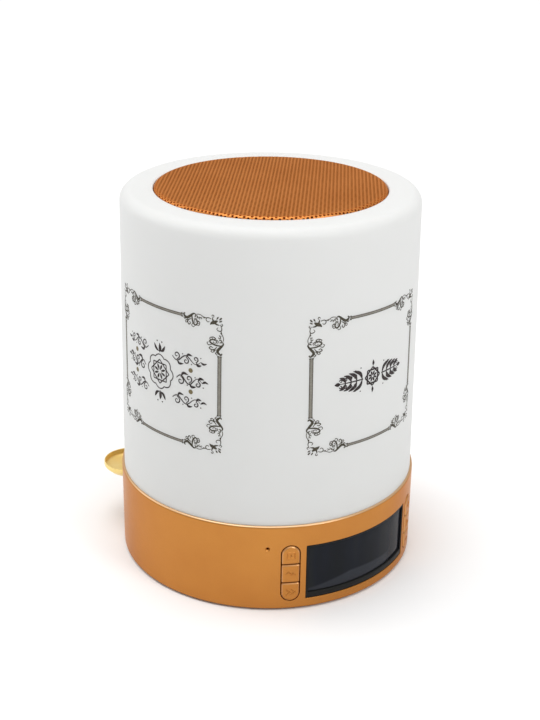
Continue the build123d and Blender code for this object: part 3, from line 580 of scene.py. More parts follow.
def makeBase():
    b = base
    inner = b["radius"] - b["wall"]
    deckLevel = baseHigh.z - b["deck"]
    shell, cutters = Shape(), Shape()
    shell.turned(roundedLoop([
        (inner, baseLow.z, b["footEdge"], 3, 1),
        (b["radius"], baseLow.z, b["footRound"], 8, b["levels"]),
        (b["radius"], baseHigh.z, b["seamRound"], 7, 1),
        (b["wireHole"], baseHigh.z, b["holeEdge"], 3, 1),
        (b["wireHole"], deckLevel, b["holeEdge"], 3, 1), (inner, deckLevel, b["innerRound"], 4, 1),
    ]), b["segments"])
    foot, top = coverHigh.z, deckLevel + b["sink"]
    for spot in postPlaces:
        tube = [(b["postHole"], foot), (b["post"], foot), (b["post"], top), (b["postHole"], top)]
        shell.turned(tube, b["postSegments"], spot)
    piece = added("base_shell", shell.mesh("base_shell", sharp=40))

    def opening(angle, flare, width, height, corner, middle,
                steps=6, run=1.4, across=0, countersunk=False):
        def loopAt(outset):
            loop = plateLoop(width, height, corner, outset, middle, steps, run)
            return [Vector((p.x + across, p.y)) for p in loop]
        mouth(cutters, angle, loopAt, inner - b["cutDeep"], b["radius"], flare, countersunk)

    w, m = window, microphone
    opening(0, w["flare"], w["wide"], w["tall"], w["corner"], w["middle"])
    for side in (-1, 1):
        opening(side * pill["angle"], pill["flare"], pill["wide"], pill["tall"], pill["wide"] / 2,
                pill["middle"], steps=16, run=1.0)
    opening(m["angle"], m["flare"], m["wide"], m["wide"], m["wide"] / 2, m["height"],
            steps=8, run=4, countersunk=True)
    for across, width, height, corner, level in ports.values():
        opening(180, b["portFlare"], width, height, corner, level, 8, 1.2, across)
    low = dish["rim"] - dish["depth"] - dish["wall"] - dish["gap"]
    high = dish["rim"] + dish["gap"]
    opening(dish["angle"], b["portFlare"], 2 * (dish["radius"] + dish["gap"]), high - low,
            dish["mouthCorner"], (low + high) / 2)
    cutOut(piece, cutters, sharp=32)
    seat(piece, finishes["copper_paint"], "clock", "copper_paint", "base_housing")
    print("base shell:", len(piece.data.polygons), "faces")


makeBase()

# ---- display: a black frame and a bent smoked window

display = {
    "inset": 0.2, "depth": 3.3, "side": 0.9, "top": 0.8, "bottom": 2.5, "slip": 0.1, "lip": 1.0,
    "edge": 0.22, "corner": 0.4, "openCorner": 0.3, "run": 1.2, "upright": 12,
    "lensInset": 0.9, "lensThick": 1.4, "lensEdge": 0.18, "backEdge": 0.05, "columns": 64,
}


def makeDisplay():
    d = display
    outer = base["radius"] - d["inset"]
    lensOuter = base["radius"] - d["lensInset"]
    lensBack, back = lensOuter - d["lensThick"], outer - d["depth"]
    wide, tall = window["wide"] - 2 * d["slip"], window["tall"] - 2 * d["slip"]
    openWide, openTall = wide - 2 * d["side"], tall - d["top"] - d["bottom"]
    openMiddle = window["middle"] + (d["bottom"] - d["top"]) / 2
    outside = wide, tall, d["corner"], window["middle"]
    inside = openWide, openTall, d["openCorner"], openMiddle

    def frameRing(edge, outset, radius):
        width, height, corner, middle = edge
        across, up = width / 2 + outset, height / 2 + outset
        flat, upright = round(wide / d["run"]), d["upright"]
        return bent(0, roundedLoop([
            (-across, middle - up, corner, 4, flat), (across, middle - up, corner, 4, upright),
            (across, middle + up, corner, 4, flat), (-across, middle + up, corner, 4, upright),
        ]), radius)

    rounding = [
        (d["edge"] * (1 - cos(radians(t))), outer - d["edge"] * (1 - sin(radians(t))))
        for t in (0, 30, 60, 90)]
    rings = [frameRing(outside, 0, back)]
    rings += [frameRing(outside, -inset, radius) for inset, radius in rounding]
    rings += [frameRing(inside, outset, radius) for outset, radius in reversed(rounding)]
    rings.append(frameRing(inside, 0, lensBack))
    rings += [frameRing(inside, -d["lip"], radius) for radius in (lensBack, back)]
    bezel = Shape()
    bezel.skin(rings, closed=True)
    finished(bezel, "display_frame", "black_plastic", nodes=("lcd_bezel",))

    high = openMiddle + openTall / 2 - d["slip"]
    low = openMiddle - openTall / 2 + d["slip"]
    reach = openWide / 2 - d["slip"]
    seatLevel = lensBack + d["slip"] / 2
    section = roundedLoop([
        (seatLevel, low, d["backEdge"], 2, 1), (lensOuter, low, d["lensEdge"], 5, 6),
        (lensOuter, high, d["lensEdge"], 5, 1), (seatLevel, high, d["backEdge"], 2, 1),
    ])
    columns = []
    for k in range(d["columns"] + 1):
        across = reach * (2 * k / d["columns"] - 1)
        columns.append([onWall(0, across, height, radius) for radius, height in section])
    lens = Shape()
    lens.skin(columns)
    finished(lens, "display_window", "smoked_lens", nodes=("lcd_lens",))


makeDisplay()
print("display made")

# ---- buttons, each with a small raised sign

cap = {
    "gap": 0.3, "proud": 0.5, "corner": 0.5, "leastCorner": 0.06, "spare": 0.002,
    "steps": 5, "roundSteps": 16, "pieces": 6,  # steps of its corners, pieces of a straight side
    # inset and drop of the rings round its edge
    "rim": ((0, 0.62), (0.015, 0.52), (0.06, 0.45), (0.44, 0.07), (0.54, 0.015), (0.7, 0)),
    "flange": 1.0, "flangeFace": 59.5, "flangeMore": 1.0,
    "plunger": 3.2, "plungerTip": 55.9, "plungerEdge": 0.3, "overlap": 0.2,
    "signRise": 0.2, "signWide": 0.62, "signSink": 0.1,
}
capWide = pill["wide"] - 2 * cap["gap"]
capPitch = (pill["tall"] - cap["gap"]) / 3
capTall = capPitch - cap["gap"]
capFace = base["radius"] + cap["proud"]

# signs as strokes, across and up from the middle of the cap
signs = {
    ("left", "top"): [[(-1.5, -1.3), (-1.5, 1.3), (1.5, 1.3), (1.5, -1.3), (-1.5, -1.3)],
                      [(0, -0.5), (0, 0.5)]],
    ("left", "middle"): [[(-1.9, 0.1), (-0.9, 1.0), (0.3, -0.3), (0.9, 0.4), (1.9, -0.4)]],
    ("left", "bottom"): [[(-1.7, 1.2), (-0.2, 0), (-1.7, -1.2)],
                         [(0.2, 1.2), (1.7, 0), (0.2, -1.2)]],
    ("right", "top"): [[(-1.5, 0), (1.5, 0)], [(0, -1.5), (0, 1.5)]],
    ("right", "middle"): [[(-1.2, -1.4), (1.4, 0), (-1.2, 1.4), (-1.2, -1.4)]],
    ("right", "bottom"): [[(-1.5, 0), (1.5, 0)]],
}


def capLoop(row, inset, level):
    # the top cap is round above, the bottom one below
    half, reach = capWide / 2 - inset, capTall / 2 - inset
    small = max(cap["corner"] - inset, cap["leastCorner"]), cap["steps"], cap["pieces"]
    big = half - cap["spare"], cap["roundSteps"], cap["pieces"]
    above, under = (big if row == end else small for end in ("top", "bottom"))
    return roundedLoop([
        (-half, level - reach, *under), (half, level - reach, *under),
        (half, level + reach, *above), (-half, level + reach, *above),
    ])


def raisedLine(made, angle, level, line):
    # a low ridge along a line drawn on the cap
    half, rise, sink = cap["signWide"] / 2, cap["signRise"], cap["signSink"]
    ridge = (-1, -sink), (-0.85, 0), (-0.2, rise), (0.2, rise), (0.85, 0), (1, -sink)
    points = [Vector(p) for p in line]
    looped = (points[0] - points[-1]).length < 1e-6
    if looped:
        points.pop()
    rings = []
    for i, here in enumerate(points):
        before = (here - points[i - 1]).normalized() if looped or i else None
        following = points[(i + 1) % len(points)]
        after = (following - here).normalized() if looped or points[i + 1:] else before
        before = before or after
        side = Vector((-(before + after).y, (before + after).x)).normalized()
        side /= max(0.5, side.dot(Vector((-before.y, before.x))))
        spots = [(here + side * offset * half, height) for offset, height in ridge]
        rings.append([onWall(angle, p.x, level + p.y, capFace + height) for p, height in spots])
    made.skin(rings, looped)


def makeButton(side, row):
    angle = pill["angle"] * (-1 if side == "left" else 1)
    level = buttonLevels[side, row]
    made = Shape()
    root = cap["flangeFace"] - cap["flange"]
    face = capLoop(row, cap["rim"][-1][0], level)
    middle = middleOf(face)
    rings = [[onWall(angle, 0, level, root)], bent(angle, capLoop(row, 0, level), root)]
    rings += [bent(angle, capLoop(row, inset, level), capFace - drop) for inset, drop in cap["rim"]]
    rings += [bent(angle, shrunk(face, share), capFace) for share in (0.8, 0.6, 0.4, 0.2)]
    rings.append([onWall(angle, middle.x, middle.y, capFace)])
    made.skin(rings)
    made.brick(angle, root, cap["flangeFace"], level, capWide + cap["flangeMore"], capTall / 2)
    made.brick(angle, cap["plungerTip"], root + cap["overlap"], level, cap["plunger"],
               cap["plunger"], cap["plungerEdge"])
    for line in signs[side, row]:
        raisedLine(made, angle, level, line)
    node = f"button_{side}_{row}"
    finished(made, f"{side}_button_{row}", "copper_paint", node, (node,), sharp=38)


for side in buttonSides:
    for row in buttonRows:
        makeButton(side, row)
print("buttons made")

# ---- fragrance dish: a bowl with two runners


def makeDish():
    d = dish
    turn = radians(d["angle"])
    centre = Vector((sin(turn), -cos(turn))) * d["reach"]
    belly, sag = d["depth"] + d["wall"] - d["rimTall"], d["depth"] - d["ledge"]
    under, ledge = d["rim"] - d["depth"] - d["wall"], d["rim"] - d["ledge"]
    outer, lipRound = d["radius"], d["lipRound"]
    hollow = outer - d["lip"] - d["step"]
    curve = [
        # the hollow curves in softly down to its middle
        (hollow * sqrt(cos(radians(t))), ledge - sag * sin(radians(t)), 0, 1, 1)
        for t in range(0, 90, 6)]
    bowl = Shape()
    bowl.turned(roundedLoop([
        (0, under, 0, 1, 4), (outer - belly, under, d["footRound"], 6, 2),
        (outer, d["rim"] - d["rimTall"], d["bellyRound"], 6, 1),
        (outer, d["rim"], lipRound, 6, 1), (outer - d["lip"], d["rim"], lipRound, 6, 1),
        *curve, (0, d["rim"] - d["depth"], 0, 1, 1),
    ]), d["segments"], centre, closed=False)
    level = d["rim"] - d["rimTall"] + d["runnerTall"] / 2
    for side in (-1, 1):
        shift = side * (d["radius"] - d["runnerWide"] / 2)
        bowl.brick(d["angle"], d["reach"] - d["runner"], d["reach"] - d["runnerEnd"], level,
                   d["runnerWide"], d["runnerTall"], shift=shift)
    finished(bowl, "fragrance_dish", "polished_gold", "scent_dish", ("scent_dish",), sharp=40)


makeDish()
print("dish made")

# ---- shade: one turned shell

shadeLow, shadeHigh = span("shade")
shade = {
    "foot": shadeHigh.x, "top": 60.0, "wall": 2.2, "hole": 46.8, "segments": 320,
    "edge": 4.6, "holeRound": 0.5, "footRound": 0.04, "innerEdge": 0.3,
    # bosses and posts lag by a share of the step from one to the next
    "bosses": 3, "boss": 3.0, "bossTall": 9.0, "bossCircle": 53.0, "bossLag": 0.625,
    "posts": 4, "post": 3.0, "postTall": 3.6, "postSink": 0.2, "postCircle": 51.5, "postLag": 0.5,
}


def shadeRadius(height):
    share = (height - shadeLow.z) / (shadeHigh.z - shadeLow.z)
    return shade["foot"] + (shade["top"] - shade["foot"]) * share


def makeShade():
    s = shade
    roof = shadeHigh.z - s["wall"]
    shell = Shape()
    shell.turned(roundedLoop([
        (s["foot"] - s["wall"], shadeLow.z, s["innerEdge"], 3, 1),
        (s["foot"], shadeLow.z, s["footRound"], 3, 8), (s["top"], shadeHigh.z, s["edge"], 16, 3),
        (s["hole"], shadeHigh.z, s["holeRound"], 5, 1), (s["hole"], roof, s["innerEdge"], 3, 2),
        (s["top"] - s["wall"], roof, s["edge"] - s["wall"], 8, 6),
    ]), s["segments"])
    for spot in ringPoints(s["bossCircle"], s["bosses"], lag=s["bossLag"]):
        shell.pillar(s["boss"], shadeLow.z, shadeLow.z + s["bossTall"], spot)
    for spot in ringPoints(s["postCircle"], s["posts"], lag=s["postLag"]):
        shell.pillar(s["post"], roof - s["postTall"], roof + s["postSink"], spot)
    finished(shell, "shade_shell", "shade_white", nodes=("shade",), sharp=50)


makeShade()
print("shade made")

# ---- node trees that repeat a shape


def newTree(name, *sizes):
    # takes a mesh, named sizes and a finish; hands back the graph and its inputs by name
    tree = bpy.data.node_groups.new(name, "GeometryNodeTree")
    kinds = {"Geometry": "Geometry", **dict.fromkeys(sizes, "Float"), "Finish": "Material"}
    for label, kind in kinds.items():
        tree.interface.new_socket(label, in_out="INPUT", socket_type=f"NodeSocket{kind}")
    tree.interface.new_socket("Geometry", in_out="OUTPUT", socket_type="NodeSocketGeometry")
    graph = Graph(tree)
    given = tree.nodes.new("NodeGroupInput")
    return graph, {socket.name: Link(graph, socket) for socket in given.outputs if socket.name}


def closeTree(graph, shape, finish):
    shape = graph.node("GeometryNodeSetMaterial", None, {"Geometry": shape, "Material": finish})
    graph.plug(graph.tree.nodes.new("NodeGroupOutput").inputs[0], shape)
    return graph.tree


def grown(piece, tree, inputs):
    # sets a modifier's named inputs by their sockets' identifiers
    grow = piece.modifiers.new(tree.name, "NODES")
    grow.node_group = tree
    for item in tree.interface.items_tree:
        if item.item_type == "SOCKET" and item.in_out == "INPUT" and item.name in inputs:
            grow[item.identifier] = inputs[item.name]


# ---- grille: a hexagon with a hole, repeated over a disc and rolled down at the edge

grilleLow, grilleHigh = span("speaker_grille")
grille = {
    "radius": grilleHigh.x, "level": grilleHigh.z, "thick": 0.8, "roll": 1.6,
    "pitch": 1.68, "hole": 0.53, "holeSides": 8, "rowTurn": 46.4,
    "sheet": 0.56, "spare": 0.8,  # the sheet's own thickness, and how far past the roll it starts
    "skirtInset": 0.04, "skirtDrop": 0.1, "skirtEdge": 0.1, "segments": 240,
}


def hexagonCell(side, hole, holeSides):
    # one flat cell about the origin: an outer hexagon joined to a round hole
    points = ringPoints(side, 6, lag=0.5) + ringPoints(hole, holeSides, lag=0.5)
    faces = []
    i = j = 0
    done = 9  # more than any share of a turn
    while i < 6 or j < holeSides:
        outerNext = (i + 1.5) / 6 if i < 6 else done
        innerNext = (j + 1.5) / holeSides if j < holeSides else done
        if outerNext <= innerNext:
            faces.append((i % 6, (i + 1) % 6, 6 + j % holeSides))
            i += 1
        else:
            faces.append((i % 6, 6 + (j + 1) % holeSides, 6 + j % holeSides))
            j += 1
    mesh = bpy.data.meshes.new("perforated_sheet")
    mesh.from_pydata([Vector((*point, 0)) * mm for point in points], [], faces)
    return mesh


def perforationTree():
    # repeats the cell over a disc, then bends what lies past the flat part down a roll
    g, value = newTree(
        "perforation", "Pitch", "Reach", "Flat Radius", "Roll", "Level", "Row Turn")
    pitch, reach, roll = value["Pitch"], value["Reach"], value["Roll"]
    rowPitch = pitch * (sqrt(3) / 2)
    count = g.maths("CEIL", reach / pitch) * 2 + 3
    rows = g.maths("CEIL", reach / rowPitch) * 2 + 3
    sheet = g.node("GeometryNodeMeshGrid", None, {
        "Size X": pitch * (count - 1), "Size Y": rowPitch * (rows - 1),
        "Vertices X": count, "Vertices Y": rows,
    })
    row = g.maths("MODULO", g.node("GeometryNodeInputIndex"), rows)
    odd = g.maths("MODULO", row, 2.0)
    shift = g.node("ShaderNodeCombineXYZ", None, {"X": odd * (pitch / 2)})
    sheet = g.node("GeometryNodeSetPosition", None, {"Geometry": sheet, "Offset": shift})
    here = g.node("GeometryNodeInputPosition")
    away = g.node("ShaderNodeVectorMath", {"operation": "LENGTH"}, {0: here}, "Value")
    sheet = g.node("GeometryNodeDeleteGeometry", {"domain": "POINT"},
                   {"Geometry": sheet, "Selection": away > reach})
    cells = g.node("GeometryNodeInstanceOnPoints", None,
                   {"Points": sheet, "Instance": value["Geometry"]})
    cells = g.node("GeometryNodeRealizeInstances", None, {"Geometry": cells})
    touching = 0.02 * mm
    cells = g.node("GeometryNodeMergeByDistance", None, {"Geometry": cells, "Distance": touching})
    about = g.node("ShaderNodeVectorRotate", {"rotation_type": "Z_AXIS"},
                   {"Vector": here, "Angle": value["Row Turn"]})
    x, y = about.part("X"), about.part("Y")
    far = g.maths("SQRT", x * x + y * y)
    past = g.maths("MAXIMUM", far - value["Flat Radius"], 0.0)
    turn = g.maths("MINIMUM", past / roll, pi / 2)
    straight = g.maths("MAXIMUM", past - roll * (pi / 2), 0.0)
    radius = g.maths("MINIMUM", far, value["Flat Radius"]) + roll * g.maths("SINE", turn)
    drop = roll * (1.0 - g.maths("COSINE", turn)) + straight
    share = radius / g.maths("MAXIMUM", far, 1e-6)
    spot = g.node("ShaderNodeCombineXYZ", None,
                  {"X": x * share, "Y": y * share, "Z": value["Level"] - drop})
    cells = g.node("GeometryNodeSetPosition", None, {"Geometry": cells, "Position": spot})
    cells = g.node("GeometryNodeSetShadeSmooth", None, {"Geometry": cells, "Shade Smooth": True})
    return closeTree(g, cells, value["Finish"])


def makeGrille():
    gr = grille
    cell = hexagonCell(gr["pitch"] / sqrt(3), gr["hole"], gr["holeSides"])
    piece = added("perforated_sheet", cell)
    flat = gr["radius"] - gr["roll"]
    grown(piece, perforationTree(), {
        "Pitch": gr["pitch"] * mm, "Reach": (flat + gr["roll"] * pi / 2 + gr["spare"]) * mm,
        "Flat Radius": flat * mm, "Roll": gr["roll"] * mm, "Level": gr["level"] * mm,
        "Row Turn": radians(gr["rowTurn"]), "Finish": finishes["grille_copper"],
    })
    wall = piece.modifiers.new("wall", "SOLIDIFY")
    wall.thickness, wall.offset, wall.use_even_offset = gr["sheet"] * mm, -1, False
    settled(piece, sharp=40)
    seat(piece, finishes["grille_copper"], "clock", "grille_copper", "speaker_grille")
    high = gr["level"] - gr["roll"] - gr["skirtDrop"]
    inner, outer = gr["radius"] - gr["thick"], gr["radius"] - gr["skirtInset"]
    corners = (inner, grilleLow.z), (outer, grilleLow.z), (outer, high), (inner, high)
    skirt = Shape()
    skirt.turned(
        roundedLoop([(*corner, gr["skirtEdge"], 2, 1) for corner in corners]), gr["segments"])
    finished(skirt, "grille_skirt", "grille_copper", nodes=("speaker_grille",))
    print("grille:", len(piece.data.polygons), "faces")


makeGrille()

# ---- printed panels: ribbons of ink that lie on the shade

panel = {
    # the panels' angles, and the size of the border to the middle of its rules
    "turns": {"front": 0.45, "left": -84.0, "right": 84.0, "rear": 180.0},
    "wide": 54.8, "tall": 52.3, "middle": 95.85,
    # half the rules' lengths, their widths, and the thin line at either side of each
    "ruleAcross": 11.5, "ruleUp": 11.9, "ruleWide": 1.25, "ruleTall": 0.92, "edgeWide": 0.28,
    "flowerAcross": 2.15, "flowerUp": 0.7,  # from the corner to the flower's middle
    "spreadUp": 1.15, "spreadAcross": 1.5, "spreadOut": 0.8,  # how far the arms stand off the rules
    # ink over and under the shade's face, and the small steps that part one stroke from the next
    "lift": 0.02, "deep": 0.05, "step": 0.0006, "steps": 30,
}


class Print:
    # draws flat strokes on the shade about one panel's middle
    def __init__(self, turn):
        self.turn, self.shape, self.count = turn, Shape(), 0

    def spot(self, x, z, lift):
        height = panel["middle"] + z
        radius = shadeRadius(height)
        angle = radians(self.turn) + x / radius
        return Vector(((radius + lift) * sin(angle), -(radius + lift) * cos(angle), height))

    def top(self):
        self.count += 1
        return panel["lift"] + panel["step"] * (self.count % panel["steps"])

    def stroke(self, path, wide, start=0.15, end=0.15, peak=0.5):
        # a ribbon along a path; start and end are shares of its width, which is full at the peak
        path = [Vector(p) for p in path]
        lengths = [0.0]
        for a, b in zip(path, path[1:]):
            lengths.append(lengths[-1] + (b - a).length)
        high, low = self.top(), -panel["deep"]
        rings = []
        for i, here in enumerate(path):
            ahead = path[min(i + 1, len(path) - 1)] - path[max(i - 1, 0)]
            side = Vector((-ahead.y, ahead.x)).normalized()
            share = lengths[i] / lengths[-1]
            if share < peak:
                swell = start + (1 - start) * sin(pi / 2 * share / peak)
            else:
                swell = end + (1 - end) * sin(pi / 2 * (1 - share) / (1 - peak))
            left, right = here + side * (wide * swell / 2), here - side * (wide * swell / 2)
            edges = (left, low), (left, high), (right, high), (right, low)
            rings.append([self.spot(*point, lift) for point, lift in edges])
        self.shape.skin(rings)

    def dot(self, x, z, radius, sides=12):
        ring = ringPoints(radius, sides, (x, z))
        lifts = -panel["deep"], self.top()
        self.shape.skin([[self.spot(*point, lift) for point in ring] for lift in lifts])


def eased(points):
    # a smooth line through a few points
    steps = 6
    points = [Vector(p) for p in points]
    held = [points[0], *points, points[-1]]
    line = []
    for a, b, c, d in zip(held, held[1:], held[2:], held[3:]):
        for t in (k / steps for k in range(steps)):
            line.append(0.5 * (
                2 * b + (c - a) * t + (2 * a - 5 * b + 4 * c - d) * t * t
                + (3 * b - 3 * c + d - a) * t ** 3))
    return line + [points[-1]]


def curl(x, z, radius, start, sweep, close, steps=22):
    # a spiral that winds in about a point; angles in degrees
    line = []
    for k in range(steps + 1):
        t = k / steps
        angle, reach = radians(start + sweep * t), radius * (1 - close * t)
        line.append((x + reach * cos(angle), z + reach * sin(angle)))
    return line


leafSwell, budSwell = (0.15, 0.05, 0.5), (0.1, 0.05, 0.45)  # start share, end share, peak

# lines of a corner: path, width, start share, end share, peak
# an arm runs along the side from the flower; its second numbers are distances in from the rule
armLines = [
    (eased([
        (1.3, -0.6), (2.2, -0.95), (3.0, -0.9), (3.5, -0.3), (3.3, 0.45), (2.6, 0.75), (2.0, 0.4),
    ]), 0.36, 0.7, 0.5, 0.5),
    (eased([
        (2.7, -0.95), (4.2, -0.75), (5.1, -1.3), (6.2, -1.85), (7.4, -1.75), (8.3, -1.1),
        (8.4, -0.3),
    ]), 0.28, 0.6, 0.6, 0.5),
    (eased([(3.7, -0.85), (4.3, -0.72), (4.9, -1.15)]), 0.62, 0.2, 0.2, 0.5),
    (curl(7.6, -0.25, 0.85, 20, -300, 0.75), 0.42, 0.6, 0.8, 0.6),
    (curl(6.3, 0.05, 0.6, 200, 280, 0.7), 0.34, 0.6, 0.6, 0.5),
    (eased([
        (8.1, -1.55), (8.9, -1.8), (9.8, -1.1), (10.9, 0.0), (12.2, 0.55), (13.2, 0.15),
        (13.6, -0.5), (13.3, -1.1), (12.9, -1.0),
    ]), 1.05, 0.35, 0.3, 0.55),
    (eased([
        (9.7, -1.0), (9.75, 0.2), (9.5, 1.4), (8.8, 2.35), (8.1, 2.6), (7.5, 2.1), (7.2, 1.3),
        (6.7, 1.15), (6.25, 1.7), (6.5, 2.4),
    ]), 0.62, 0.6, 0.35, 0.35),
    (eased([
        (10.2, 0.7), (11.3, 1.2), (11.8, 2.0), (11.2, 2.75), (10.5, 2.3), (10.9, 1.8),
    ]), 0.44, 0.5, 0.6, 0.4),
    (eased([(11.6, 0.9), (12.2, 1.55), (12.7, 1.2)]), 0.42, 0.3, 0.3, 0.5),
    (eased([(12.5, 0.6), (13.2, 1.1), (13.7, 0.5)]), 0.36, 0.3, 0.2, 0.5),
    (eased([(13.9, -0.9), (14.4, -0.35), (14.3, 0.35), (13.9, 0.8)]), 0.3, 0.4, 0.4, 0.5),
    # small curls that fill in round the scroll's stem
    (curl(8.35, 1.35, 0.75, 160, 330, 0.65), 0.32, 0.7, 0.6, 0.4),
    (curl(6.9, 2.15, 0.55, 20, 300, 0.6), 0.30, 0.7, 0.6, 0.4),
    (curl(10.6, -0.35, 0.5, 200, -290, 0.6), 0.28, 0.6, 0.6, 0.4),
    (curl(5.4, -0.2, 0.5, 250, 280, 0.6), 0.28, 0.6, 0.6, 0.4),
    (eased([(7.2, 1.3), (7.6, 0.6), (8.2, 0.35), (8.9, 0.6)]), 0.34, 0.5, 0.4, 0.5),
    (eased([(9.3, 1.9), (9.9, 2.9), (9.0, 3.35), (8.6, 2.9)]), 0.32, 0.6, 0.5, 0.5),
    (eased([(11.9, 1.9), (12.5, 2.3), (12.9, 1.8), (12.5, 1.5)]), 0.30, 0.5, 0.5, 0.5),
]
armDots = [(14.55, -0.62, 0.3), (14.55, 0.62, 0.3)]
armLong = 14.6
# the flower's lines are about its own middle, with distances inward along both sides
flowerLines = [
    (eased([(-1.3, -0.75), (0.0, 0.0), (0.9, 0.35), (1.7, 1.1)]), 1.35, 0.4, 0.12, 0.5),
    (eased([(0.8, -1.9), (0.5, -0.7), (-0.1, 0.1), (-0.9, 0.7), (-2.1, 0.9)]), 0.8, 0.25, 0.2, 0.5),
    (eased([(-1.9, -1.1), (-2.4, -1.5), (-2.9, -2.1)]), 0.66, 0.3, 0.5, 0.6),
    (eased([(-0.9, -1.2), (-1.2, -1.7), (-1.6, -2.3)]), 0.56, 0.3, 0.5, 0.6),
    (eased([(-1.8, -0.4), (-2.4, -0.55), (-3.0, -0.95)]), 0.56, 0.3, 0.5, 0.6),
    (curl(0.6, -2.4, 0.5, 100, 300, 0.4), 0.32, 0.6, 0.6, 0.5),
    (curl(-2.9, 0.7, 0.5, -10, 300, 0.4), 0.32, 0.6, 0.6, 0.5),
]


def drawCorner(ink, sideX, sideZ):
    halfWide, halfTall = panel["wide"] / 2, panel["tall"] / 2
    flowerX, flowerZ = halfWide - panel["flowerAcross"], halfTall - panel["flowerUp"]

    def alongTop(a, b):
        return sideX * (flowerX - a), sideZ * (halfTall - b)

    def alongSide(a, b):
        return sideX * (halfWide - b), sideZ * (flowerZ - a)

    for length, spread, spot in (
        (flowerX - panel["ruleAcross"], panel["spreadUp"], alongTop),
        (flowerZ - panel["ruleUp"], panel["spreadAcross"], alongSide),
    ):
        stretch, out = length / armLong, panel["spreadOut"]
        for path, *widths in armLines:
            line = [spot(a * stretch, b * (spread if b > 0 else out)) for a, b in path]
            ink.stroke(line, *widths)
        for a, b, radius in armDots:
            ink.dot(*spot(a * stretch, b), radius)
    for path, *widths in flowerLines:
        ink.stroke([(sideX * (flowerX - a), sideZ * (flowerZ - b)) for a, b in path], *widths)


def drawRules(rules, edges):
    # four straight rules, each a grey band between two thin dark lines
    thin, pieces = panel["edgeWide"], 24
    for side in (-1, 1):
        for size, wide, reach in (
            ("wide", panel["ruleWide"], panel["ruleUp"]),
            ("tall", panel["ruleTall"], panel["ruleAcross"]),
        ):
            along = [reach * (2 * k / pieces - 1) for k in range(pieces + 1)]
            for offset, broad, ink in (
                (-wide / 2, thin, edges), (wide / 2, thin, edges), (0, wide - thin, rules),
            ):
                at = side * (panel[size] / 2 + offset)
                ink.stroke([(at, a) if size == "wide" else (a, at) for a in along], broad, 1, 1)


def eightStar(ink, x, z, radius, wide):
    # two squares, one turned by an eighth
    steps = 5
    for lag in (0, 0.5):
        corners = [Vector(p) for p in ringPoints(radius, 4, (x, z), lag)]
        for a, b in zip(corners, corners[1:] + corners[:1]):
            ink.stroke([a.lerp(b, k / steps) for k in range(steps + 1)], wide, 0.9, 0.9)


# places and sizes are shares of a curl's or leaf's own size, but a vine's tip is in millimetres;
# widths are shares of the line's width, and sweeps are in degrees
vineForm = {
    "wave": 0.45, "back": 0.25, "shrink": 0.12, "curl": 0.52, "sweep": 420, "close": 0.82,
    "leaf": ((0.1, 0.55), (0.4, 1.05), (1.1, 0.95)), "leafWide": 1.9, "dot": (0.95, -0.35),
    "tip": ((0, 0), (1.2, 0.7), (2.6, 0.2)), "tipWide": 1.7,
}
sprigForm = {
    "shrink": 0.13, "leaf": ((0, 0), (0.28, 0.62), (1.05, 1.0)), "leafWide": 2.6,
    "curl": (0.82, 0.42, 0.26), "sweep": 330, "close": 0.6, "curlWide": 0.8,
    "dot": (0.2, 1.12), "tip": 0.6, "tipWide": 3.0,
}


def vine(ink, start, reach, lean, wide, turns, size):
    # a waving stem with curls and leaves that change side at every wave
    v = vineForm
    count, wave = turns * 8, lean * size * v["wave"]
    stem = [
        (start[0] + reach * k / count, start[1] + wave * sin(pi * turns * k / count))
        for k in range(count + 1)]
    ink.stroke(stem, wide, 0.6, 0.3, 0.3)
    way = 1 if reach > 0 else -1
    for n in range(turns):
        t = (n + 0.5) / turns
        side = lean * (1 if n % 2 == 0 else -1)
        x, z = start[0] + reach * t, start[1] - side * size * v["back"]
        grow = size * (1 - v["shrink"] * n)
        loop = curl(x, z, grow * v["curl"], 90 * side, -way * side * v["sweep"], v["close"])
        ink.stroke(loop, wide, 0.5, 0.6, 0.3)
        leaf = [(x + way * grow * a, z + side * grow * b) for a, b in v["leaf"]]
        ink.stroke(eased(leaf), wide * v["leafWide"], *leafSwell)
        a, b = v["dot"]
        ink.dot(x + way * grow * a, z + side * grow * b, wide * 0.5)
    x, z = stem[-1]
    tip = [(x + way * a, z + lean * b) for a, b in v["tip"]]
    ink.stroke(eased(tip), wide * v["tipWide"], 0.2, 0.05, 0.4)


def petals(ink, count, near, far, wide, turn):
    # leaves that point out from the middle
    steps = 6
    for out in (Vector(p) for p in ringPoints(1, count, lag=turn)):
        leaf = [out * (near + (far - near) * n / steps) for n in range(steps + 1)]
        ink.stroke(leaf, wide, 0.15, 0.05, 0.55)


def sprig(ink, start, reach, size, pairs, wide):
    # a straight stem with pairs of leaves that grow smaller to its tip
    s, way = sprigForm, 1 if reach > 0 else -1
    stemSteps, tipSteps, curlSteps = 10, 6, 16
    x0, z0 = start
    stem = [(x0 + reach * k / stemSteps, z0) for k in range(stemSteps + 1)]
    ink.stroke(stem, wide, 0.9, 0.5, 0.3)
    for n in range(pairs):
        x = x0 + reach * (n + 0.15) / pairs
        grow = size * (1 - s["shrink"] * n)
        for lean in (-1, 1):
            leaf = [(x + way * grow * a, z0 + lean * grow * b) for a, b in s["leaf"]]
            ink.stroke(eased(leaf), wide * s["leafWide"], *leafSwell)
            a, b, radius = s["curl"]
            loop = curl(x + way * grow * a, z0 + lean * grow * b, grow * radius, 90 - way * 90,
                        way * lean * s["sweep"], s["close"], curlSteps)
            ink.stroke(loop, wide * s["curlWide"], 0.5, 0.6, 0.4)
            a, b = s["dot"]
            ink.dot(x + way * grow * a, z0 + lean * grow * b, wide * 0.5)
    end, tip = x0 + reach, way * size * s["tip"]
    bud = [(end + tip * k / tipSteps, z0) for k in range(tipSteps + 1)]
    ink.stroke(bud, wide * s["tipWide"], *budSwell)


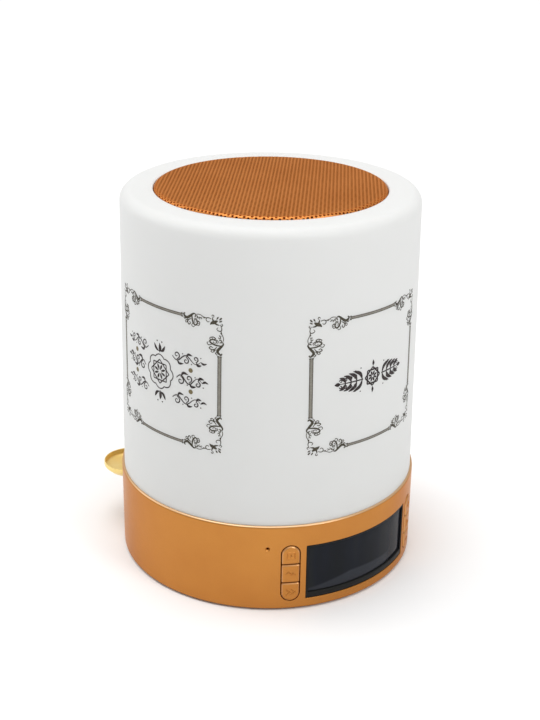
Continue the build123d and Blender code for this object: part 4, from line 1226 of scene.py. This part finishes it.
medallion = {
    "star": (5.0, 0.5),  # radius and line width
    "petals": (8, 0.7, 3.3, 0.95, 0.5),  # count, near, far, width and turn
    "ring": 6.2, "cusp": 0.9, "ringWide": 0.45, "ringSteps": 96,
    "vines": (  # across, up, reach, lean, line width, turns and size
        (6.8, 8.6, 13.0, -1, 0.50, 3, 3.0), (6.8, -8.6, 13.0, 1, 0.50, 3, 3.0),
        (8.8, 0.0, 11.6, 1, 0.55, 3, 3.3)),
    "roundels": ((15.4, -4.4), (15.4, 4.4)), "roundel": 0.95,
    "bud": ((0, 7.9), (0.3, 9.8), (0, 11.8)), "budWide": 1.5,
    "leaf": ((0.3, 8.4), (1.9, 9.2), (3.0, 11.2)), "leafWide": 1.15,
    "seed": (1.3, 12.4), "seedSize": 0.32,
}
band = {
    "star": (3.9, 0.7), "petals": (8, 0.4, 2.4, 0.9, 0.5),
    "start": 4.9, "reach": 10.4, "sprig": (4.3, 4, 0.55),  # size, pairs and line width
    "bud": ((0, 4.3), (0.2, 5.4), (0, 6.8)), "budWide": 1.1,
}


def drawMedallion(ink, roundels):
    # a cusped rosette with three rows of vines to either side
    m = medallion
    eightStar(ink, 0, 0, *m["star"])
    petals(ink, *m["petals"])
    cusped = []
    for k in range(m["ringSteps"] + 1):
        turn = radians(360 * k / m["ringSteps"])
        reach = m["ring"] + m["cusp"] * abs(cos(4 * turn))
        cusped.append((reach * cos(turn), reach * sin(turn)))
    ink.stroke(cusped, m["ringWide"], 1, 1)
    for way in (-1, 1):
        for across, up, reach, *form in m["vines"]:
            vine(ink, (way * across, up), way * reach, *form)
        for across, up in m["roundels"]:
            roundels.dot(way * across, up, m["roundel"], 20)
    for lean in (-1, 1):
        ink.stroke(eased([(a, lean * b) for a, b in m["bud"]]), m["budWide"], *budSwell)
        for way in (-1, 1):
            leaf = [(way * a, lean * b) for a, b in m["leaf"]]
            ink.stroke(eased(leaf), m["leafWide"], *leafSwell)
            ink.dot(way * m["seed"][0], lean * m["seed"][1], m["seedSize"])


def drawBand(ink):
    # an eight-pointed star between two leafy sprigs
    b = band
    eightStar(ink, 0, 0, *b["star"])
    petals(ink, *b["petals"])
    for way in (-1, 1):
        sprig(ink, (way * b["start"], 0.0), way * b["reach"], *b["sprig"])
    for lean in (-1, 1):
        ink.stroke(eased([(a, lean * c) for a, c in b["bud"]]), b["budWide"], *budSwell)


def makePrints():
    for name, turn in panel["turns"].items():
        layers = {part: Print(turn) for part in ("scrolls", "rules", "motif", "roundels")}
        for sideX in (-1, 1):
            for sideZ in (-1, 1):
                drawCorner(layers["scrolls"], sideX, sideZ)
        drawRules(layers["rules"], layers["scrolls"])
        if name in ("front", "rear"):
            drawBand(layers["motif"])
        else:
            drawMedallion(layers["motif"], layers["roundels"])
        for part, layer in layers.items():
            if layer.count:
                finished(layer.shape, f"{name}_print_{part}", "shade_white", finish=inks[part])


makePrints()
print("prints made")

# ---- pad with grip rings

pad = {
    "rings": 10, "first": 2.1, "pitch": 3.9, "flat": 2.7, "slope": 0.3, "deep": 0.25,
    "border": 0.6, "bevel": 0.3, "edge": 0.1, "segments": 160,
}


def makePad():
    p = pad
    radius, low, high = padHigh.x, padLow.z, padHigh.z
    groove = low + p["deep"]
    profile = [(0, groove)]
    for k in range(p["rings"]):
        start = p["first"] + p["pitch"] * k
        rise, stop = start + p["slope"], start + p["slope"] + p["flat"]
        profile += [(start, groove), (rise, low), (stop, low), (stop + p["slope"], groove)]
    profile = [point for point in profile if point[0] < radius - p["border"]]
    profile += [
        (radius - p["bevel"], low + p["edge"]), (radius, low + p["edge"] + p["bevel"]),
        (radius, high - p["edge"]), (radius - p["edge"], high), (0, high),
    ]
    made = Shape()
    made.turned(profile, p["segments"], closed=False)
    finished(made, "grip_pad", "black_rubber", nodes=("base_pad",))


makePad()

# ---- screws with a crossed slot, by Geometry Nodes

screw = {
    "headTall": 1.3, "headSides": 40, "shank": 1.3, "shankSides": 24, "slot": 0.55,
    "slotLong": 1.15,  # as a share of the head's radius
    "slotLevel": 0.12,  # how high a slot's middle lies, as a share of the head's height
}


def screwTree():
    # puts a screw on each point; its head hangs below its seat, which is the point's own level
    g, value = newTree(
        "crossed_screws", "Head Radius", "Head Height", "Shank Radius", "Length", "Slot")
    head, tall, slot = value["Head Radius"], value["Head Height"], value["Slot"]
    long, overlap = value["Length"], 0.01 * mm

    def raised(shape, height):
        offset = g.node("ShaderNodeCombineXYZ", None, {"Z": height})
        return g.node("GeometryNodeTransform", None, {"Geometry": shape, "Translation": offset})

    def cylinder(sides, radius, depth):
        sizes = {"Vertices": sides, "Radius": radius, "Depth": depth}
        return g.node("GeometryNodeMeshCylinder", None, sizes)

    def bar(x, y):
        size = g.node("ShaderNodeCombineXYZ", None, {"X": x, "Y": y, "Z": tall})
        cube = g.node("GeometryNodeMeshCube", None, {"Size": size})
        return raised(cube, tall * screw["slotLevel"])

    cut = g.node("GeometryNodeMeshBoolean", {"operation": "DIFFERENCE", "solver": "EXACT"},
                 {"Mesh 1": raised(cylinder(screw["headSides"], head, tall), tall * 0.5)})
    reach = head * screw["slotLong"]
    tool = cut.socket.node.inputs["Mesh 2"]
    for cross in (bar(reach, slot), bar(slot, reach)):
        g.plug(tool, cross)
    shank = raised(cylinder(screw["shankSides"], value["Shank Radius"], long),
                   tall + long * 0.5 - overlap)
    join = g.node("GeometryNodeJoinGeometry")
    for shape in (cut, shank):
        g.plug(join.socket.node.inputs[0], shape)
    many = g.node("GeometryNodeInstanceOnPoints", None,
                  {"Points": value["Geometry"], "Instance": join})
    many = g.node("GeometryNodeRealizeInstances", None, {"Geometry": many})
    return closeTree(g, many, value["Finish"])


def makeScrews():
    mesh = bpy.data.meshes.new("cover_screws_crossed")
    mesh.from_pydata([Vector((*spot, screwsLow.z)) * mm for spot in postPlaces], [], [])
    piece = added("cover_screws_crossed", mesh)
    grown(piece, screwTree(), {
        "Head Radius": base["screwHead"] * mm, "Head Height": screw["headTall"] * mm,
        "Shank Radius": screw["shank"] * mm, "Slot": screw["slot"] * mm,
        "Length": (screwsHigh.z - screwsLow.z - screw["headTall"]) * mm,
        "Finish": finishes["plated_steel"],
    })
    settled(piece, sharp=30)
    seat(piece, finishes["plated_steel"], "clock", "plated_steel", "cover_screws")


makeScrews()
print("pad and screws made")

# ---- power switch knob with finger ridges

knob = {
    "ridges": 4, "pitch": 0.5, "ridgeWide": 0.26, "ridgeTall": 0.25, "ridgeEdge": 0.08,
    "margin": 0.3, "edge": 0.12,
}


def makeKnob():
    low, high = span("power_slider")
    middle, size = (low + high) / 2, high - low
    face = high.y - knob["ridgeTall"]
    made = Shape()
    made.brick(180, low.y, face, middle.z, size.x, size.z, knob["edge"], -middle.x)
    for k in range(knob["ridges"]):
        shift = (k - (knob["ridges"] - 1) / 2) * knob["pitch"] - middle.x
        made.brick(180, face - knob["ridgeTall"], high.y, middle.z, knob["ridgeWide"],
                   size.z - knob["margin"], knob["ridgeEdge"], shift)
    finished(made, "switch_knob", "component_black", "power_slider", ("power_slider",))


makeKnob()

# ---- floor, light and camera

studio = {
    "floorHalf": 4000, "floorThick": 40, "sky": 0.54,
    "aim": (0, 0, 0.08),  # in metres, as are the lights' places and sizes
    # each light: kind, place, size (the sun's in degrees), power
    "lights": {
        "overhead": ("SUN", (-0.20, 0.17, 2.0), 50, 1.72),
        "key": ("AREA", (0.15, -1.1, 1.0), 0.5, 4.4),
        "rim": ("AREA", (-0.75, 1.2, 0.8), 0.8, 3.2),
    },
}


def makeFloor():
    half = studio["floorHalf"]
    corners = (-half, -half), (half, -half), (half, half), (-half, half)
    floor = Shape()
    floor.skin([[Vector((*corner, z)) for corner in corners] for z in (-studio["floorThick"], 0)])
    piece = added("floor", floor.mesh("floor", 30))
    paint = Finish("floor_white", Specular_IOR_Level=0.1)
    paint.set("Base Color", paint.ramp(
        paint.grain(60), (0.3, (0.93, 0.93, 0.93)), (0.7, (0.95, 0.95, 0.95))))
    paint.set("Roughness", 0.9 + 0.05 * paint.grain(20))
    piece.data.materials.append(paint.material)


def makeLights():
    world = bpy.data.worlds.new("studio")
    world.use_nodes = True
    back = world.node_tree.nodes["Background"]
    back.inputs["Color"].default_value = (1, 1, 1, 1)
    back.inputs["Strength"].default_value = studio["sky"]
    scene.world = world
    for name, (kind, spot, size, power) in studio["lights"].items():
        lamp = bpy.data.lights.new(name, kind)
        lamp.energy = power
        if kind == "SUN":
            lamp.angle = radians(size)
        else:
            lamp.shape, lamp.size = "DISK", size
        holder = added(name, lamp)
        holder.location = spot
        aim = Vector(studio["aim"]) - Vector(spot)
        holder.rotation_euler = aim.to_track_quat("-Z", "Y").to_euler()


view = {
    # angles in degrees, distance and target in metres, lens and sensor in millimetres
    "azimuth": -40.7, "elevation": 22.908, "distance": 0.537514, "roll": 0.818,
    "lens": 63.96, "sensor": 36.0, "target": (0.000453, -0.000389, 0.082518),
    "clip": (0.01, 20.0),
}


def makeCamera():
    turn, rise = radians(view["azimuth"]), radians(view["elevation"])
    back = Vector((sin(turn) * cos(rise), -cos(turn) * cos(rise), sin(rise)))
    data = bpy.data.cameras.new("camera")
    data.lens, data.sensor_width = view["lens"], view["sensor"]
    data.clip_start, data.clip_end = view["clip"]
    camera = added("camera", data)
    camera.location = Vector(view["target"]) + back * view["distance"]
    camera.rotation_euler = (-back).to_track_quat("-Z", "Y").to_euler()
    camera.rotation_euler.rotate_axis("Z", radians(view["roll"]))
    scene.camera = camera


makeFloor()
makeLights()
makeCamera()
print("studio made")
